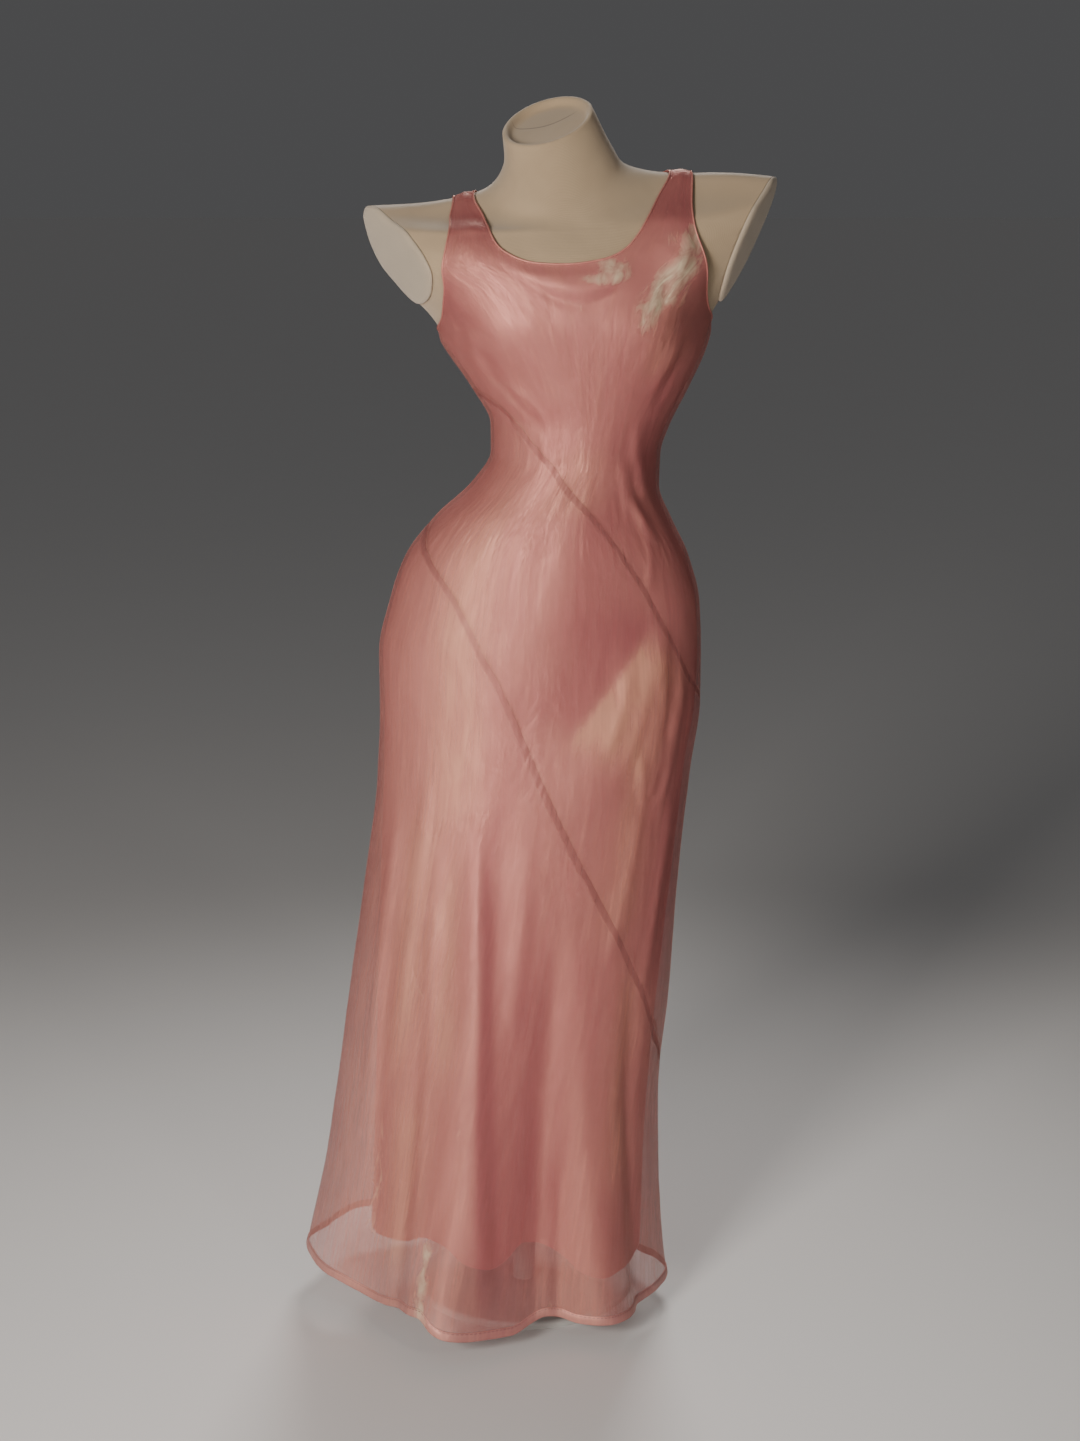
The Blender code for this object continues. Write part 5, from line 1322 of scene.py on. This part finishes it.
# ---------------------------------------------------------------------------------------------------------
# Floor and light
# A plain pale floor. The one strong light stands low in front at the left. A small one from the right makes the
# glints, a weak narrow one lights the edges from behind, and a very weak wide sun and sky fill the shadows.
# ---------------------------------------------------------------------------------------------------------

floor_look, floor_tree = new_look("pale_floor", Roughness=0.8)
feed_shader(floor_look, Base_Color=effect(
    floor_tree, mottle, add_node(floor_tree, "ShaderNodeTexCoord").outputs["Object"], 3.0, Contrast=0.6,
    Light=(0.71, 0.70, 0.69, 1), Dark=(0.69, 0.68, 0.67, 1))["Color"])
floor_mesh = bpy.data.meshes.new("floor")
floor_mesh.from_pydata([(-60, -60, 0), (60, -60, 0), (60, 60, 0), (-60, 60, 0)], [], [(0, 1, 2, 3)])
floor_mesh.materials.append(floor_look)
put_in_scene("floor", floor_mesh)

# Columns: name, place, the point it faces, width, height, power, spread in degrees, colour.
for name, place, target, width, height, power, spread, colour in (
        ("key", (-1.2, -2.65, 1.30), (0.0, 0.0, 0.70), 0.7, 0.9, 93.0, 180.0, (1.0, 0.94, 0.88)),
        ("glint", (1.2, -2.4, 1.9), (0.0, 0.0, 1.00), 0.2, 0.2, 5.0, 180.0, (1.0, 0.96, 0.86)),
        ("back", (0.3, 2.6, 2.5), (0.0, 0.0, 0.75), 1.0, 1.0, 9.0, 55.0, (1.0, 0.97, 0.94))):
    lamp = bpy.data.lights.new(name, "AREA")
    lamp.shape = "RECTANGLE"
    lamp.size, lamp.size_y = width, height
    lamp.energy = power
    lamp.spread = math.radians(spread)
    lamp.color = colour
    way_back = mathutils.Vector(place) - mathutils.Vector(target)
    put_in_scene(name, lamp, place, way_back.to_track_quat("Z", "Y").to_euler())

even_data = bpy.data.lights.new("even", "SUN")
even_data.energy = 0.11
even_data.angle = math.radians(60.0)
put_in_scene("even", even_data, rotation=(math.radians(20.0), math.radians(-10.0), 0.0))

world = bpy.data.worlds.new("studio")
world.use_nodes = True
sky = world.node_tree.nodes["Background"].inputs
sky["Color"].default_value = (0.80, 0.80, 0.82, 1.0)
sky["Strength"].default_value = 0.095
bpy.context.scene.world = world
